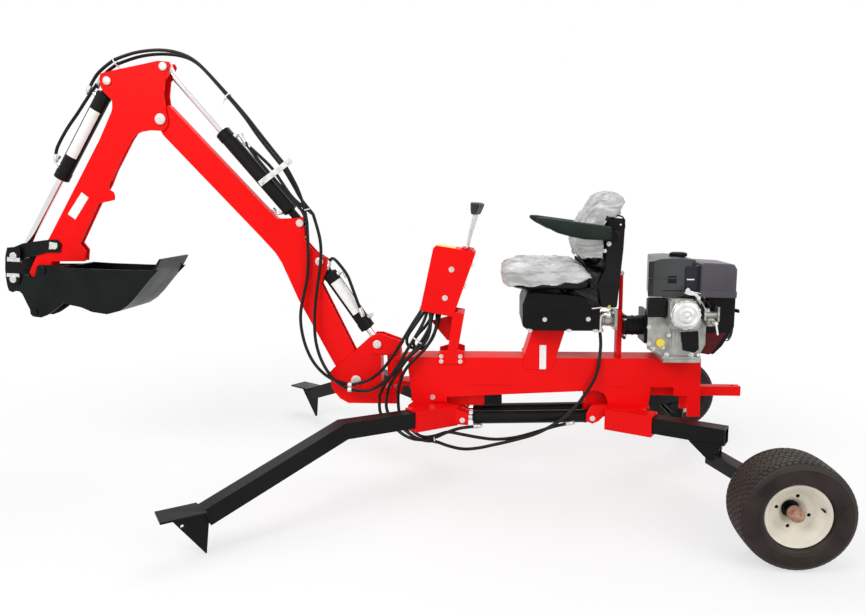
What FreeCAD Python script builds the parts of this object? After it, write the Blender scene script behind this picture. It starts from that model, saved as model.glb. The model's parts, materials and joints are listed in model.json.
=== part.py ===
import FreeCAD, Part
import math
import os

V = FreeCAD.Vector

# ---------------------------------------------------------------- dimensions
# Millimetres. +X runs from the digging arm to the tow tube, +Z is up, the
# centre plane of the machine is Y = 0 and the ground is Z = 0.
X_SHIFT = 528.5            # moves the whole machine so that its box is centred

# wheels: 16 x 7.50-8 tyres on 8 inch rims
WHEEL_X, WHEEL_Y, WHEEL_Z = 1076.0, 792.0, 203.0
TYRE_R, TYRE_W = 203.0, 192.0
RIM_R, RIM_FLANGE_R, RIM_W = 101.0, 114.5, 150.0
SPINDLE_R = 12.5

# main frame, a box of 8 mm plate
FRAME_Y, PLATE = 70.0, 8.0
BEAM_TOP = 584.0

# stabiliser and wheel legs: 70 mm square tube in 88 mm sleeves, splayed
SLEEVE, LEG, LEG_WALL = 88.0, 70.0, 5.0
SLEEVE_H = 95.0
SLEEVE_TOP = 359.0
FRONT_SPLAY, FRONT_RISE = math.radians(42.0), math.radians(3.6)
REAR_SPLAY = math.radians(29.5)
FRONT_SLEEVE_AT = (-140.0, -94.0)     # inner end, outer face, plan view
REAR_SLEEVE_AT = (527.0, -125.0)
FRONT_SLEEVE_LEN, REAR_SLEEVE_LEN = 242.0, 213.0
LEG_PIVOT = (-262.0, 392.0)
LEG_ROD_PIN = (-122.0, 292.0)
LEG_BARREL_PIN = (476.0, 309.0)
LEG_CYL_Y = 62.0

KING_X, KING_R = -448.0, 17.5

# arm pins in the plane of the arm (X, Z)
A = (-630.0, 462.0)       # boom foot
B = (-525.0, 638.0)       # boom cylinder rod, on the swing post
C = (-793.0, 1030.0)      # boom cylinder barrel, on the boom
D = (-879.0, 1210.0)      # dipper cylinder barrel, on the boom
E = (-1514.0, 1693.0)     # boom to dipper
F = (-1485.0, 1927.0)     # dipper cylinder rod, on the dipper
G = (-1757.0, 1870.0)     # bucket cylinder barrel, on the dipper
H = (-2078.0, 1111.0)     # tipping levers, on the dipper
I = (-2148.0, 993.0)      # bucket
J = (-2278.0, 1066.0)     # tipping levers to bucket links and rod
K = (-2290.0, 953.0)      # bucket links, on the bucket
PIN_R = 12.5
CLEAR = 0.05              # running clearance of a pin in its bore
ARM_WALL = 5.5            # sides of the boom box
BARREL_R, ROD_R, EYE_R = 34.0, 16.0, 26.0
EYE_W, LEG_EYE_W = 20.0, 30.0         # half widths of the cylinders' eyes
BARREL_WALL, GLAND, PISTON = 6.0, 30.0, 30.0
STUB, LEG_STUB = EYE_W + 0.5, LEG_EYE_W + 0.5     # stubs beside them
PISTON_ROOM = 14.0                    # barrel's closed end, past its start

CROSS_PIN = (-2203.0, 791.0)          # tie pin under the bucket's ears
BUCKET_Y = 150.0

# the arm's plates from the middle outwards, half widths: the boom box goes
# round the cylinders' eyes, the dipper and the swing post go round the boom
SIDE_GAP = 1.0
ARM_Y = STUB + ARM_WALL
DIP_IN = ARM_Y + SIDE_GAP
DIP_OUT = DIP_IN + 8.0
SWING_T = 10.0
SWING_Y = ARM_Y + SIDE_GAP + SWING_T
LEVER_IN, LEVER_OUT = DIP_OUT + SIDE_GAP, DIP_OUT + 7.0
EAR_IN, EAR_OUT = LEVER_OUT + 3.0, LEVER_OUT + 11.0
LINK_IN, LINK_OUT = EAR_OUT + 2.0, EAR_OUT + 8.0

# the boom's travel: its rod is drawn out in step with it, on the boom's own
# line, so its eye wanders about B and the swing post leaves room for that
BOOM_TRAVEL = (-8, 60)                # degrees
BOOM_SLIDE = 196.4                    # mm of rod for each radian
EYE_ROOM, LEG_EYE_ROOM = 6.0, 10.0    # round the eyes that wander


# ------------------------------------------------------------------- helpers
def box(x0, x1, y0, y1, z0, z1):
    return Part.makeBox(x1 - x0, y1 - y0, z1 - z0, V(x0, y0, z0))


def plate(points, y0, y1):
    """Flat plate of the given (X, Z) outline between two Y values."""
    wire = Part.makePolygon([V(x, y0, z) for x, z in points]
                            + [V(points[0][0], y0, points[0][1])])
    return Part.Face(wire).extrude(V(0, y1 - y0, 0))


def slab(points, z0, z1):
    """Flat plate of the given (X, Y) outline between two Z values."""
    wire = Part.makePolygon([V(x, y, z0) for x, y in points]
                            + [V(points[0][0], points[0][1], z0)])
    return Part.Face(wire).extrude(V(0, 0, z1 - z0))


def disc(at, r, y0, y1):
    """Cylinder along Y centred on an (X, Z) point."""
    return Part.makeCylinder(r, y1 - y0, V(at[0], y0, at[1]), V(0, 1, 0))


def pair(make, inner, outer):
    """The same piece on both sides of the centre plane."""
    return [make(-outer, -inner), make(inner, outer)]


def fuse(parts):
    shape = parts[0].multiFuse(parts[1:]) if len(parts) > 1 else parts[0]
    return shape.removeSplitter()


def cut(shape, tools):
    for tool in tools:
        shape = shape.cut(tool)
    return shape


def mirror(shape):
    return shape.mirror(V(0, 0, 0), V(0, 1, 0))


def rod(p, q, r):
    d = V(*q) - V(*p)
    return Part.makeCylinder(r, d.Length, V(*p), d)


def turned(profile, centre, axis):
    """Ring of an (axial, radius) outline about an axis through a point."""
    wire = Part.makePolygon([V(r, 0, a) for a, r in profile]
                            + [V(profile[0][1], 0, profile[0][0])])
    ring = Part.Face(wire).revolve(V(0, 0, 0), V(0, 0, 1), 360)
    turn = FreeCAD.Rotation(V(0, 0, 1), V(*axis))
    ring.Placement = FreeCAD.Placement(V(*centre), turn)
    return ring


def sweep_tube(points, r):
    """Round hose along a smooth curve through the points."""
    curve = Part.BSplineCurve()
    curve.interpolate([V(*p) for p in points])
    path = Part.Wire([curve.toShape()])
    start = curve.tangent(curve.FirstParameter)[0]
    ring = Part.Wire([Part.makeCircle(r, V(*points[0]), start)])
    return path.makePipeShell([ring], True, True)


def quad_bar(sections):
    """Straight-sided bar through four-cornered sections, one after another."""
    bars = []
    for a, b in zip(sections, sections[1:]):
        faces = [Part.Face(Part.makePolygon([V(*p) for p in q + [q[0]]]))
                 for q in (a, b)]
        for i in range(4):
            j = (i + 1) % 4
            for tri in ((a[i], a[j], b[j]), (a[i], b[j], b[i])):
                faces.append(Part.Face(Part.makePolygon(
                    [V(*p) for p in tri + (tri[0],)])))
        shell = Part.makeShell(faces)
        shell.sewShape()
        solid = Part.makeSolid(shell)
        if solid.Volume < 0:
            solid.reverse()
        bars.append(solid)
    return fuse(bars)


def leg_box(start, splay, rise, s0, s1, inset, size, out, height=None):
    """Square bar along a splayed leg, from s0 to s1 past its inner end. start
    is the top edge of the outer face there; inset moves all faces inwards."""
    c, s = math.cos(splay), math.sin(splay)
    height = height or size
    bar = Part.makeBox(s1 - s0, size, height, V(s0, inset, -inset - height))
    run, lift = math.cos(rise), math.sin(rise)
    return bar.transformGeometry(FreeCAD.Matrix(
        out * c * run, out * s, -out * c * lift, start[0],
        -s * run, c, s * lift, start[1],
        lift, 0, run, start[2],
        0, 0, 0, 1))


def unit(p, q):
    d = math.hypot(q[0] - p[0], q[1] - p[1])
    return (q[0] - p[0]) / d, (q[1] - p[1]) / d


def cylinder_pair(base, eye, barrel_len, ext, neck=0.0, y=0.0, r=BARREL_R,
                  rod_r=ROD_R, half=EYE_W):
    """A hydraulic cylinder in an XZ plane, drawn at rest: barrel with its
    base eye on a neck, and rod with piston and eye. ext is how far the rod
    still goes out from rest."""
    ux, uz = unit(base, eye)

    def at(p, s):
        return (p[0] + ux * s, y, p[1] + uz * s)
    total = math.hypot(eye[0] - base[0], eye[1] - base[1])
    start = EYE_R * 0.8 + neck
    barrel = fuse([rod(at(base, start), at(base, barrel_len), r),
                   rod(at(base, EYE_R * 0.6), at(base, start + 1), half - 1),
                   disc(base, EYE_R, y - half, y + half)])
    barrel = cut(barrel, [
        disc(base, PIN_R + CLEAR, y - half - 1, y + half + 1),
        rod(at(base, start + PISTON_ROOM), at(base, barrel_len - GLAND),
            r - BARREL_WALL),
        rod(at(base, start + PISTON_ROOM), at(base, barrel_len + 1),
            rod_r + CLEAR)])
    piston_end = barrel_len - GLAND - ext - 2
    ram = fuse([rod(at(base, piston_end - 5), at(base, total - EYE_R * 0.6),
                    rod_r),
                rod(at(base, piston_end - PISTON), at(base, piston_end),
                    r - BARREL_WALL - 0.3),
                disc(eye, EYE_R, y - half, y + half)])
    return barrel, ram


def stubs(at, inner, outer, y=0.0):
    """The two ends of a pin, outside an eye that fills its middle."""
    return [disc(at, PIN_R, y - outer, y - inner),
            disc(at, PIN_R, y + inner, y + outer)]


NODES = {}

# ------------------------------------------------------------------- chassis
side = [(-376, 524), (-373, BEAM_TOP), (960, BEAM_TOP), (966, 313), (908, 313),
        (905, 409), (845, 411), (844, 450), (742, 450), (733, 357), (548, 357),
        (548, 375), (541, 398), (528, 418), (508, 429), (472, 430),
        (-195, 394), (-195, 370), (-254, 370), (-292, 337), (-380, 335),
        (-380, 350), (-358, 366), (-366, 455)]
frame = pair(lambda a, b: plate(side, a, b), FRAME_Y - PLATE, FRAME_Y)
frame.append(box(-373, 960, -FRAME_Y, FRAME_Y, BEAM_TOP - PLATE, BEAM_TOP))
frame.append(plate([(-195, 402), (472, 438), (472, 430), (-195, 394)],
                   -FRAME_Y, FRAME_Y))
frame.append(box(952, 960, -FRAME_Y, FRAME_Y, 455, BEAM_TOP))
frame.append(box(-366, -358, -FRAME_Y, FRAME_Y, 440, BEAM_TOP))
# seat of the rear sleeves and the gussets over it
frame.append(slab([(548, -118), (620, -158), (733, -100), (733, 100),
                   (620, 158), (548, 118)], SLEEVE_TOP - 2, SLEEVE_TOP + 6))
rear_at = REAR_SLEEVE_AT + (SLEEVE_TOP,)
rear_sleeve = leg_box(rear_at, REAR_SPLAY, 0, 0, REAR_SLEEVE_LEN, 0, SLEEVE, 1,
                      SLEEVE_H)
gap = (SLEEVE - LEG) / 2
rear_sleeve = rear_sleeve.cut(leg_box(rear_at, REAR_SPLAY, 0, -5,
                                      REAR_SLEEVE_LEN + 5, gap, LEG, 1))
frame += [rear_sleeve, mirror(rear_sleeve)]
# clevises of the stabiliser cylinders, under the beam
for s in (-1, 1):
    for near in (-42, 32):
        y0, y1 = sorted((s * (LEG_CYL_Y + near), s * (LEG_CYL_Y + near + 10)))
        ear = [(448, 296), (476, 283), (504, 296), (566, 359), (520, 372),
               (476, 372), (448, 330)]
        if near < 0:
            ear = [(448, 296), (476, 283), (504, 296), (566, 359),
                   (520, 420), (472, 434), (448, 434)]
        frame.append(plate(ear, y0, y1))
frame.append(box(476, 560, -LEG_CYL_Y - 42, LEG_CYL_Y + 42, 359, 367))
# cross member that ties the stabiliser pivots together under the beam
frame.append(box(-100, -20, -34, 34, 352, 408))
frame.append(box(-20, 40, -20, 20, 352, 410))
main_frame = fuse(frame)
main_frame = cut(main_frame, [disc(LEG_BARREL_PIN, PIN_R, -200, 200),
                              disc(LEG_PIVOT, PIN_R, -200, 200)])
NODES["main_frame"] = main_frame

# king pin boss on the nose of the frame, between the forks of the swing post
web = [(-366, -60), (-366, 60), (-440, 34), (-456, 34), (-456, -34),
       (-440, -34)]
bracket = fuse([Part.makeCylinder(36, 142, V(KING_X, 0, 440)),
                slab(web, 440, 462), slab(web, 560, 582)])
bracket = cut(bracket, [Part.makeCylinder(KING_R, 400, V(KING_X, 0, 300)),
                        main_frame])
NODES["king_bracket"] = bracket
king = fuse([Part.makeCylinder(KING_R, 234, V(KING_X, 0, 386)),
             Part.makeCylinder(26, 8, V(KING_X, 0, 612)),
             Part.makeCylinder(24, 7, V(KING_X, 0, 386))])
NODES["king_pin"] = king

# tow tube, hollow, bored for a hitch pin at its end
TOW_Z, TOW_HALF, TOW_END, HITCH_R = 422.0, 22.0, 1158.0, 8.0
tow = box(700, TOW_END, -TOW_HALF, TOW_HALF, TOW_Z - TOW_HALF, TOW_Z + TOW_HALF)
tow = tow.cut(box(700, TOW_END + 1, -TOW_HALF + 4, TOW_HALF - 4,
                  TOW_Z - TOW_HALF + 4, TOW_Z + TOW_HALF - 4))
tow = tow.cut(Part.makeCylinder(HITCH_R, 80, V(TOW_END - 35, 0, TOW_Z - 40)))
tow_seat = fuse([box(760, 800, -62, 62, TOW_Z + TOW_HALF, 462),
                 box(905, 952, -62, 62, TOW_Z + TOW_HALF, 462)])
NODES["tow_tube"] = fuse([tow, tow_seat])

# wheel legs with their axle arms
WHEEL_LEG = (30.0, 516.0)             # inner and outer end along the sleeve
leg = leg_box(rear_at, REAR_SPLAY, 0, WHEEL_LEG[0], WHEEL_LEG[1], gap, LEG, 1)
leg = leg.cut(leg_box(rear_at, REAR_SPLAY, 0, WHEEL_LEG[0] + 200,
                      WHEEL_LEG[1] + 5, gap + LEG_WALL, LEG - 2 * LEG_WALL, 1))
HUB_Y = WHEEL_Y - TYRE_W / 2          # inner face of the tyre
LEG_BOTTOM = SLEEVE_TOP - gap - LEG
ARM_FROM = (957.0, -285.0, 206.0)
ARM_TO = (WHEEL_X, -HUB_Y + 18, WHEEL_Z)


def arm_section(p, toward, half):
    """Corners of a square section across a mostly lateral bar."""
    dx, dy = unit(p[:2], toward[:2])
    nx, ny = -dy, dx
    return [(p[0] + nx * a * half, p[1] + ny * a * half, p[2] + b * half)
            for a, b in ((-1, 1), (1, 1), (1, -1), (-1, -1))]


axle_end = (ARM_TO[0] + (ARM_TO[0] - ARM_FROM[0]), ARM_TO[1] * 2 - ARM_FROM[1],
            0)
bar = quad_bar([arm_section(ARM_FROM, ARM_TO, 29),
                arm_section(ARM_TO, axle_end, 29)])
hub_plate = box(WHEEL_X - 42, WHEEL_X + 42, -HUB_Y + 10, -HUB_Y + 20,
                WHEEL_Z - 42, WHEEL_Z + 42)


def on_leg(s, across):
    """Plan point s along the wheel leg and across it from the outer face."""
    c, t = math.cos(REAR_SPLAY), math.sin(REAR_SPLAY)
    return (REAR_SLEEVE_AT[0] + c * s + t * (gap + across),
            REAR_SLEEVE_AT[1] - t * s + c * (gap + across))


saddle = slab([on_leg(400, -6), on_leg(505, -6), on_leg(505, LEG + 6),
               on_leg(400, LEG + 6)], LEG_BOTTOM - 10, LEG_BOTTOM)


def gusset(across):
    pts = [(370, LEG_BOTTOM - 4), (500, LEG_BOTTOM - 4), (488, 205),
           (452, 205)]
    a = [on_leg(s, across) + (z,) for s, z in pts]
    b = [on_leg(s, across + 8) + (z,) for s, z in pts]
    return quad_bar([a, b])


wheel_leg = fuse([leg, bar, hub_plate, saddle, gusset(4), gusset(LEG - 12)])
spindle_hole = disc((WHEEL_X, WHEEL_Z), SPINDLE_R, -WHEEL_Y, -HUB_Y + 60)
wheel_leg = wheel_leg.cut(spindle_hole)
NODES["wheel_legs"] = Part.makeCompound([wheel_leg, mirror(wheel_leg)])
spindle = fuse([disc((WHEEL_X, WHEEL_Z), SPINDLE_R, -WHEEL_Y - 20,
                     -HUB_Y + 20)])
NODES["wheel_axles"] = Part.makeCompound([spindle, mirror(spindle)])

# wheels
half = TYRE_W / 2
tyre_profile = [(-half, 150), (-half * 0.98, 178), (-half * 0.88, 194),
                (-half * 0.55, TYRE_R - 1), (0, TYRE_R),
                (half * 0.55, TYRE_R - 1), (half * 0.88, 194),
                (half * 0.98, 178), (half, 150), (half * 0.9, 125),
                (half * 0.72, RIM_R + 2.2), (-half * 0.72, RIM_R + 2.2),
                (-half * 0.9, 125)]
rim_outer = [(-RIM_W / 2, RIM_FLANGE_R), (-RIM_W / 2 + 5, RIM_FLANGE_R),
             (-RIM_W / 2 + 6, RIM_R), (RIM_W / 2 - 6, RIM_R),
             (RIM_W / 2 - 5, RIM_FLANGE_R), (RIM_W / 2, RIM_FLANGE_R),
             (RIM_W / 2, RIM_R - 4), (12, RIM_R - 5), (6, 60), (-14, 54),
             (-14, 24), (34, 24), (34, SPINDLE_R + CLEAR),
             (-60, SPINDLE_R + CLEAR), (-60, 24), (-20, 24), (-20, 56),
             (0, 62), (6, RIM_R - 5), (-RIM_W / 2, RIM_R - 4)]
for name, s in (("near", -1), ("far", 1)):
    centre = (WHEEL_X, s * WHEEL_Y, WHEEL_Z)
    axis_out = (0, s, 0)
    tyre = turned(tyre_profile, centre, axis_out)
    rim = turned(rim_outer, centre, axis_out)
    NODES[name + "_tyre"] = tyre.cut(turned(
        [(-RIM_W / 2 - 0.2, RIM_FLANGE_R + 0.3), (-RIM_W / 2 + 6.2,
         RIM_FLANGE_R + 0.3), (-RIM_W / 2 + 6.2, RIM_R - 9),
         (-RIM_W / 2 - 0.2, RIM_R - 9)], centre, axis_out)).cut(turned(
             [(RIM_W / 2 + 0.2, RIM_FLANGE_R + 0.3), (RIM_W / 2 - 6.2,
              RIM_FLANGE_R + 0.3), (RIM_W / 2 - 6.2, RIM_R - 9),
              (RIM_W / 2 + 0.2, RIM_R - 9)], centre, axis_out))
    NODES[name + "_rim"] = rim

# --------------------------------------------------------------- stabilisers
front_at = FRONT_SLEEVE_AT + (SLEEVE_TOP,)
sleeve = leg_box(front_at, FRONT_SPLAY, FRONT_RISE, 0, FRONT_SLEEVE_LEN, 0,
                 SLEEVE, -1, SLEEVE_H)
fhole = leg_box(front_at, FRONT_SPLAY, FRONT_RISE, -5, FRONT_SLEEVE_LEN + 5,
                gap, LEG, -1)
ear = plate([(-292, 350), (-292, 412), (-232, 412), (-180, 350), (-180, 300),
             (-230, 300)], -60, -44)
rod_ears = [plate([(-185, 352), (-150, 345), (-94, 318), (-94, 268),
                   (-150, 272), (-185, 285)], -LEG_CYL_Y - 44,
                  -LEG_CYL_Y - 32),
            plate([(-215, 352), (-150, 345), (-94, 318), (-94, 268),
                   (-150, 272), (-215, 285)], -LEG_CYL_Y + 32,
                  -LEG_CYL_Y + 44)]
rod_ears.append(box(-164, -153, -LEG_CYL_Y - 44, -LEG_CYL_Y + 44, 272, 350))
sleeve = fuse([sleeve, ear] + rod_ears).cut(fhole)
sleeve = cut(sleeve, [disc(LEG_PIVOT, PIN_R + CLEAR, -70, -30),
                      disc(LEG_ROD_PIN, PIN_R, -200, 0),
                      disc(LEG_ROD_PIN, EYE_R + LEG_EYE_ROOM, -LEG_CYL_Y - 32,
                           -LEG_CYL_Y + 32)])

# the leg bends down from its straight stretch to the foot
BEND = (-590.0, -495.0, 395.0)        # upper edge of the outer face
LEG_END = (-1047.0, -887.0, 182.0)


def leg_section(p, plan, slope, height):
    """Corners of the tube whose upper outer edge is at p: plan is the angle of
    the leg in plan and slope its fall."""
    across = (-math.sin(plan) * LEG, math.cos(plan) * LEG)
    fall = (math.cos(plan) * math.sin(slope) * height,
            math.sin(plan) * math.sin(slope) * height,
            -math.cos(slope) * height)
    top = [p, (p[0] + across[0], p[1] + across[1], p[2])]
    low = [tuple(u + v for u, v in zip(q, fall)) for q in top]
    return [top[0], top[1], low[1], low[0]]


run = (math.cos(FRONT_SPLAY) * math.cos(FRONT_RISE),
       math.sin(FRONT_SPLAY) * math.cos(FRONT_RISE))
inner_end = (FRONT_SLEEVE_AT[0] - run[0] * 30 - math.sin(FRONT_SPLAY) * gap,
             FRONT_SLEEVE_AT[1] - run[1] * 30 + math.cos(FRONT_SPLAY) * gap,
             SLEEVE_TOP - gap + math.sin(FRONT_RISE) * 30)
plan = math.radians(40.6)
fall = math.radians(19.5)
stab = quad_bar([leg_section(inner_end, FRONT_SPLAY, -FRONT_RISE, LEG),
                 leg_section(BEND, math.radians(41.4), math.radians(8.0),
                             LEG * 1.02),
                 leg_section(LEG_END, plan, fall, LEG)])


def foot_point(along_pad, across_pad):
    """Plan point on the foot, from the outer corner of its outer edge."""
    c, t = math.cos(FOOT_PLAN), math.sin(FOOT_PLAN)
    return (-1164 + c * along_pad - t * across_pad,
            -997 + t * along_pad + c * across_pad)


FOOT_PLAN, PAD_W, PAD_TOP = math.radians(35.0), 111.0, 182.0
HOLE = (83.0, 127.0)
pad = slab([foot_point(0, 0), foot_point(166, 0), foot_point(150, PAD_W),
            foot_point(0, PAD_W)], PAD_TOP - 8, PAD_TOP)


def fin_side(across_pad):
    return [foot_point(34, across_pad) + (PAD_TOP - 6,),
            foot_point(186, across_pad) + (PAD_TOP - 6,),
            foot_point(165, across_pad) + (0,),
            foot_point(161, across_pad) + (0,)]


fin = quad_bar([fin_side(PAD_W / 2 - 6), fin_side(PAD_W / 2 + 6)])
hole_at = [foot_point(HOLE[0], PAD_W / 2 + d) + (HOLE[1],) for d in (-30, 30)]
stab = fuse([stab, pad, fin]).cut(rod(hole_at[0], hole_at[1], 7))
# the leg stands in its sleeve face to face
sleeve = max(sleeve.cut(stab).Solids, key=lambda s: s.Volume)
NODES["near_leg_sleeve"] = sleeve
NODES["far_leg_sleeve"] = mirror(sleeve)
NODES["near_leg"] = stab
NODES["far_leg"] = mirror(stab)

pivot_pin = disc(LEG_PIVOT, PIN_R, -74, 74)
barrel_pin = disc(LEG_BARREL_PIN, PIN_R, -LEG_CYL_Y - 44, LEG_CYL_Y + 44)
NODES["frame_pins"] = Part.makeCompound([pivot_pin, barrel_pin])
rod_pin = stubs(LEG_ROD_PIN, LEG_STUB, 46, y=-LEG_CYL_Y)
NODES["near_leg_pin"] = Part.makeCompound(rod_pin)
NODES["far_leg_pin"] = mirror(Part.makeCompound(rod_pin))
barrel, ram = cylinder_pair(LEG_BARREL_PIN, LEG_ROD_PIN, 545, 82,
                            y=-LEG_CYL_Y, r=30, rod_r=15, half=LEG_EYE_W)
NODES["near_leg_barrel"], NODES["near_leg_rod"] = barrel, ram
NODES["far_leg_barrel"], NODES["far_leg_rod"] = mirror(barrel), mirror(ram)

# ------------------------------------------------------------------ swing post
cheek = [(-760, 499), (-751, 425), (-735, 398), (-710, 369), (-671, 348),
         (-433, 348), (-429, 421), (-504, 425), (-512, 453), (-512, 584),
         (-433, 586), (-405, 635), (-407, 650), (-504, 686), (-534, 686),
         (-556, 673), (-631, 607), (-695, 554)]
post = pair(lambda a, b: plate(cheek, a, b), SWING_Y - SWING_T, SWING_Y)
fork = [(-560, -44), (-440, -44), (-420, -34), (-412, 0), (-420, 34),
        (-440, 44), (-560, 44)]
post += [slab(fork, 592, 612), slab(fork, 404, 428),
         box(-520, -508, -44, 44, 404, 612),
         Part.makeCylinder(34, 24, V(KING_X, 0, 398))]


def boom_eye(angle):
    """Where the boom rod's eye stands once the boom has turned by an angle."""
    ux, uz = unit(C, B)
    c, s = math.cos(angle), math.sin(angle)
    x = B[0] - A[0] + ux * BOOM_SLIDE * angle
    z = B[1] - A[1] + uz * BOOM_SLIDE * angle
    return (A[0] + c * x - s * z, A[1] + s * x + c * z)


eye_room = [disc(boom_eye(math.radians(t)), EYE_R + EYE_ROOM,
                 -SWING_Y + SWING_T, SWING_Y - SWING_T)
            for t in range(BOOM_TRAVEL[0], BOOM_TRAVEL[1] + 1, 4)]
post = fuse(post)
post = cut(post, [Part.makeCylinder(KING_R + CLEAR, 400, V(KING_X, 0, 300)),
                  disc(A, PIN_R, -80, 80), disc(B, PIN_R, -80, 80),
                  disc(A, 52, -DIP_IN, DIP_IN)] + eye_room)
NODES["swing_post"] = post
NODES["swing_post_pins"] = Part.makeCompound([disc(A, PIN_R, -47, 47)]
                                             + stubs(B, STUB, 47))

# ------------------------------------------------------------------------ boom
boom_out = [(-1535, 1674), (-1513, 1730), (-1477, 1757), (-997, 1238),
            (-984, 1231), (-900, 1233), (-863, 1239), (-860, 1131),
            (-812, 1075), (-755, 1039), (-755, 999), (-788, 925), (-585, 497),
            (-583, 436), (-628, 414), (-675, 436), (-740, 542), (-899, 847),
            (-973, 1023), (-1001, 1070), (-1072, 1150), (-1513, 1623)]
boom = plate(boom_out, -ARM_Y, ARM_Y)
# inside of the tube and the slot that the boom cylinder works in
hollow = [(-1446, 1652), (-1406, 1658), (-1024, 1246), (-969, 1200),
          (-909, 1029), (-884, 999), (-703, 617), (-715, 557), (-743, 577),
          (-964, 1069), (-1057, 1167), (-1446, 1591)]
slot = [(-743, 1139), (-884, 1139), (-864, 959), (-693, 597), (-603, 557),
        (-502, 697)]
core = ARM_Y - ARM_WALL
boom = cut(boom, [
    plate(hollow, -core, core), plate(slot, -core, core),
    disc(D, 64, -core, core),
    disc(A, PIN_R + CLEAR, -80, 80), disc(E, PIN_R + CLEAR, -80, 80),
    disc(C, PIN_R, -80, 80), disc(D, PIN_R, -80, 80)])
NODES["boom"] = boom
NODES["boom_pins"] = Part.makeCompound([disc(C, PIN_R, -33, 33),
                                        disc(D, PIN_R, -33, 33)])

# ---------------------------------------------------------------------- dipper
dip_side = [(-1788, 1903), (-1770, 1908), (-1701, 1919), (-1510, 1953),
            (-1458, 1947), (-1451, 1931), (-1464, 1905), (-1462, 1885),
            (-1482, 1869), (-1493, 1803), (-1490, 1767), (-1480, 1690),
            (-1484, 1662), (-1506, 1640), (-1569, 1644), (-1613, 1638),
            (-1643, 1625), (-1665, 1600), (-1710, 1531), (-1756, 1456),
            (-1791, 1390), (-1787, 1373), (-1771, 1364), (-1765, 1347),
            (-1768, 1326), (-1850, 1310), (-1957, 1120), (-1930, 1086),
            (-1939, 1036), (-2105, 1036), (-2122, 985), (-2140, 966),
            (-2185, 960), (-2214, 961), (-2224, 985), (-2186, 1053),
            (-2108, 1149), (-1870, 1523), (-1818, 1604), (-1749, 1731),
            (-1743, 1750), (-1742, 1783), (-1778, 1820), (-1790, 1840),
            (-1795, 1879)]
# the far cheek is cut narrower along its lower edge
dip_far = dip_side[:14] + [
    (-1569, 1658), (-1621, 1654), (-1660, 1636), (-1684, 1606), (-1726, 1539),
    (-1772, 1464), (-1806, 1396), (-1868, 1308), (-1973, 1124), (-1948, 1090),
    (-1957, 1037)] + dip_side[29:]
dip = [plate(dip_side, -DIP_OUT, -DIP_IN), plate(dip_far, DIP_IN, DIP_OUT)]
# plates that close the box along its edges
edges = [
    [(-2108, 1149), (-1870, 1523), (-1861, 1518), (-2099, 1143)],
    [(-1575, 1662), (-1623, 1658), (-1664, 1639), (-1688, 1609),
     (-1730, 1542), (-1800, 1416), (-1807, 1420), (-1737, 1546),
     (-1695, 1613), (-1669, 1645), (-1625, 1666), (-1575, 1670)],
    [(-1872, 1312), (-1977, 1126), (-1986, 1131), (-1881, 1317)],
    [(-1958, 1037), (-2105, 1037), (-2105, 1045), (-1958, 1045)],
    [(-1560, 1944), (-1740, 1914), (-1740, 1906), (-1560, 1936)],
    [(-1870, 1523), (-1818, 1604), (-1749, 1731), (-1741, 1727),
     (-1810, 1600), (-1861, 1518)],
]
dip += [plate(e, -DIP_OUT, DIP_OUT) for e in edges]
dip += [disc(H, 30, -DIP_OUT, DIP_OUT), disc(I, 26, -DIP_OUT, DIP_OUT)]
dip = cut(fuse(dip), [disc(p, PIN_R, -90, 90) for p in (E, F, G, H, I)])
NODES["dipper"] = dip
NODES["dipper_pins"] = Part.makeCompound(
    [disc(p, PIN_R, -43, 43) for p in (E, G)] + stubs(F, STUB, 43)
    + [disc(H, PIN_R, -47, 47), disc(I, PIN_R, -58, 58)])

# ------------------------------------------------------ tipping levers, links
lever = [(-2056, 1080), (-2046, 1120), (-2065, 1141), (-2120, 1140),
         (-2187, 1132), (-2243, 1124), (-2300, 1102), (-2304, 1070),
         (-2290, 1042), (-2240, 1052), (-2168, 1068), (-2121, 1080)]
levers = pair(lambda a, b: plate(lever, a, b), LEVER_IN, LEVER_OUT)
levers = [cut(s, [disc(H, PIN_R + CLEAR, -90, 90), disc(J, PIN_R, -90, 90)])
          for s in levers]
NODES["tipping_levers"] = Part.makeCompound(levers)
NODES["tipping_pin"] = Part.makeCompound(stubs(J, STUB, 66))
link = [(-2309, 1106), (-2252, 1110), (-2243, 1094), (-2246, 1060),
        (-2254, 960), (-2266, 928), (-2302, 922), (-2328, 935), (-2330, 998),
        (-2322, 1065)]
links = pair(lambda a, b: plate(link, a, b), LINK_IN, LINK_OUT)
links = [fuse([cut(s, [disc(J, PIN_R + CLEAR, -90, 90)]), head])
         for s, head in zip(links, pair(lambda a, b: disc(K, PIN_R, a, b),
                                        LINK_OUT - 1.0, LINK_OUT + 5.0))]
NODES["bucket_links"] = Part.makeCompound(links)

# ---------------------------------------------------------------------- bucket
wall_line = [(-1503, 1050), (-1526, 1012), (-1562, 961), (-1603, 916),
             (-1640, 874), (-1680, 837), (-1722, 811), (-1783, 796),
             (-1856, 807), (-1907, 829), (-1950, 838), (-2030, 856),
             (-2086, 893), (-2002, 1019)]
bucket_side = [(-2002, 1019), (-1900, 1012), (-1700, 1004), (-1519, 1002)] \
    + wall_line[2:13]
T_WALL = 6.0


def offset(points, d):
    out = []
    for i, p in enumerate(points):
        a = points[max(i - 1, 0)]
        b = points[min(i + 1, len(points) - 1)]
        x, z = unit(a, b)
        out.append((p[0] - z * d, p[1] + x * d))
    return out


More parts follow.
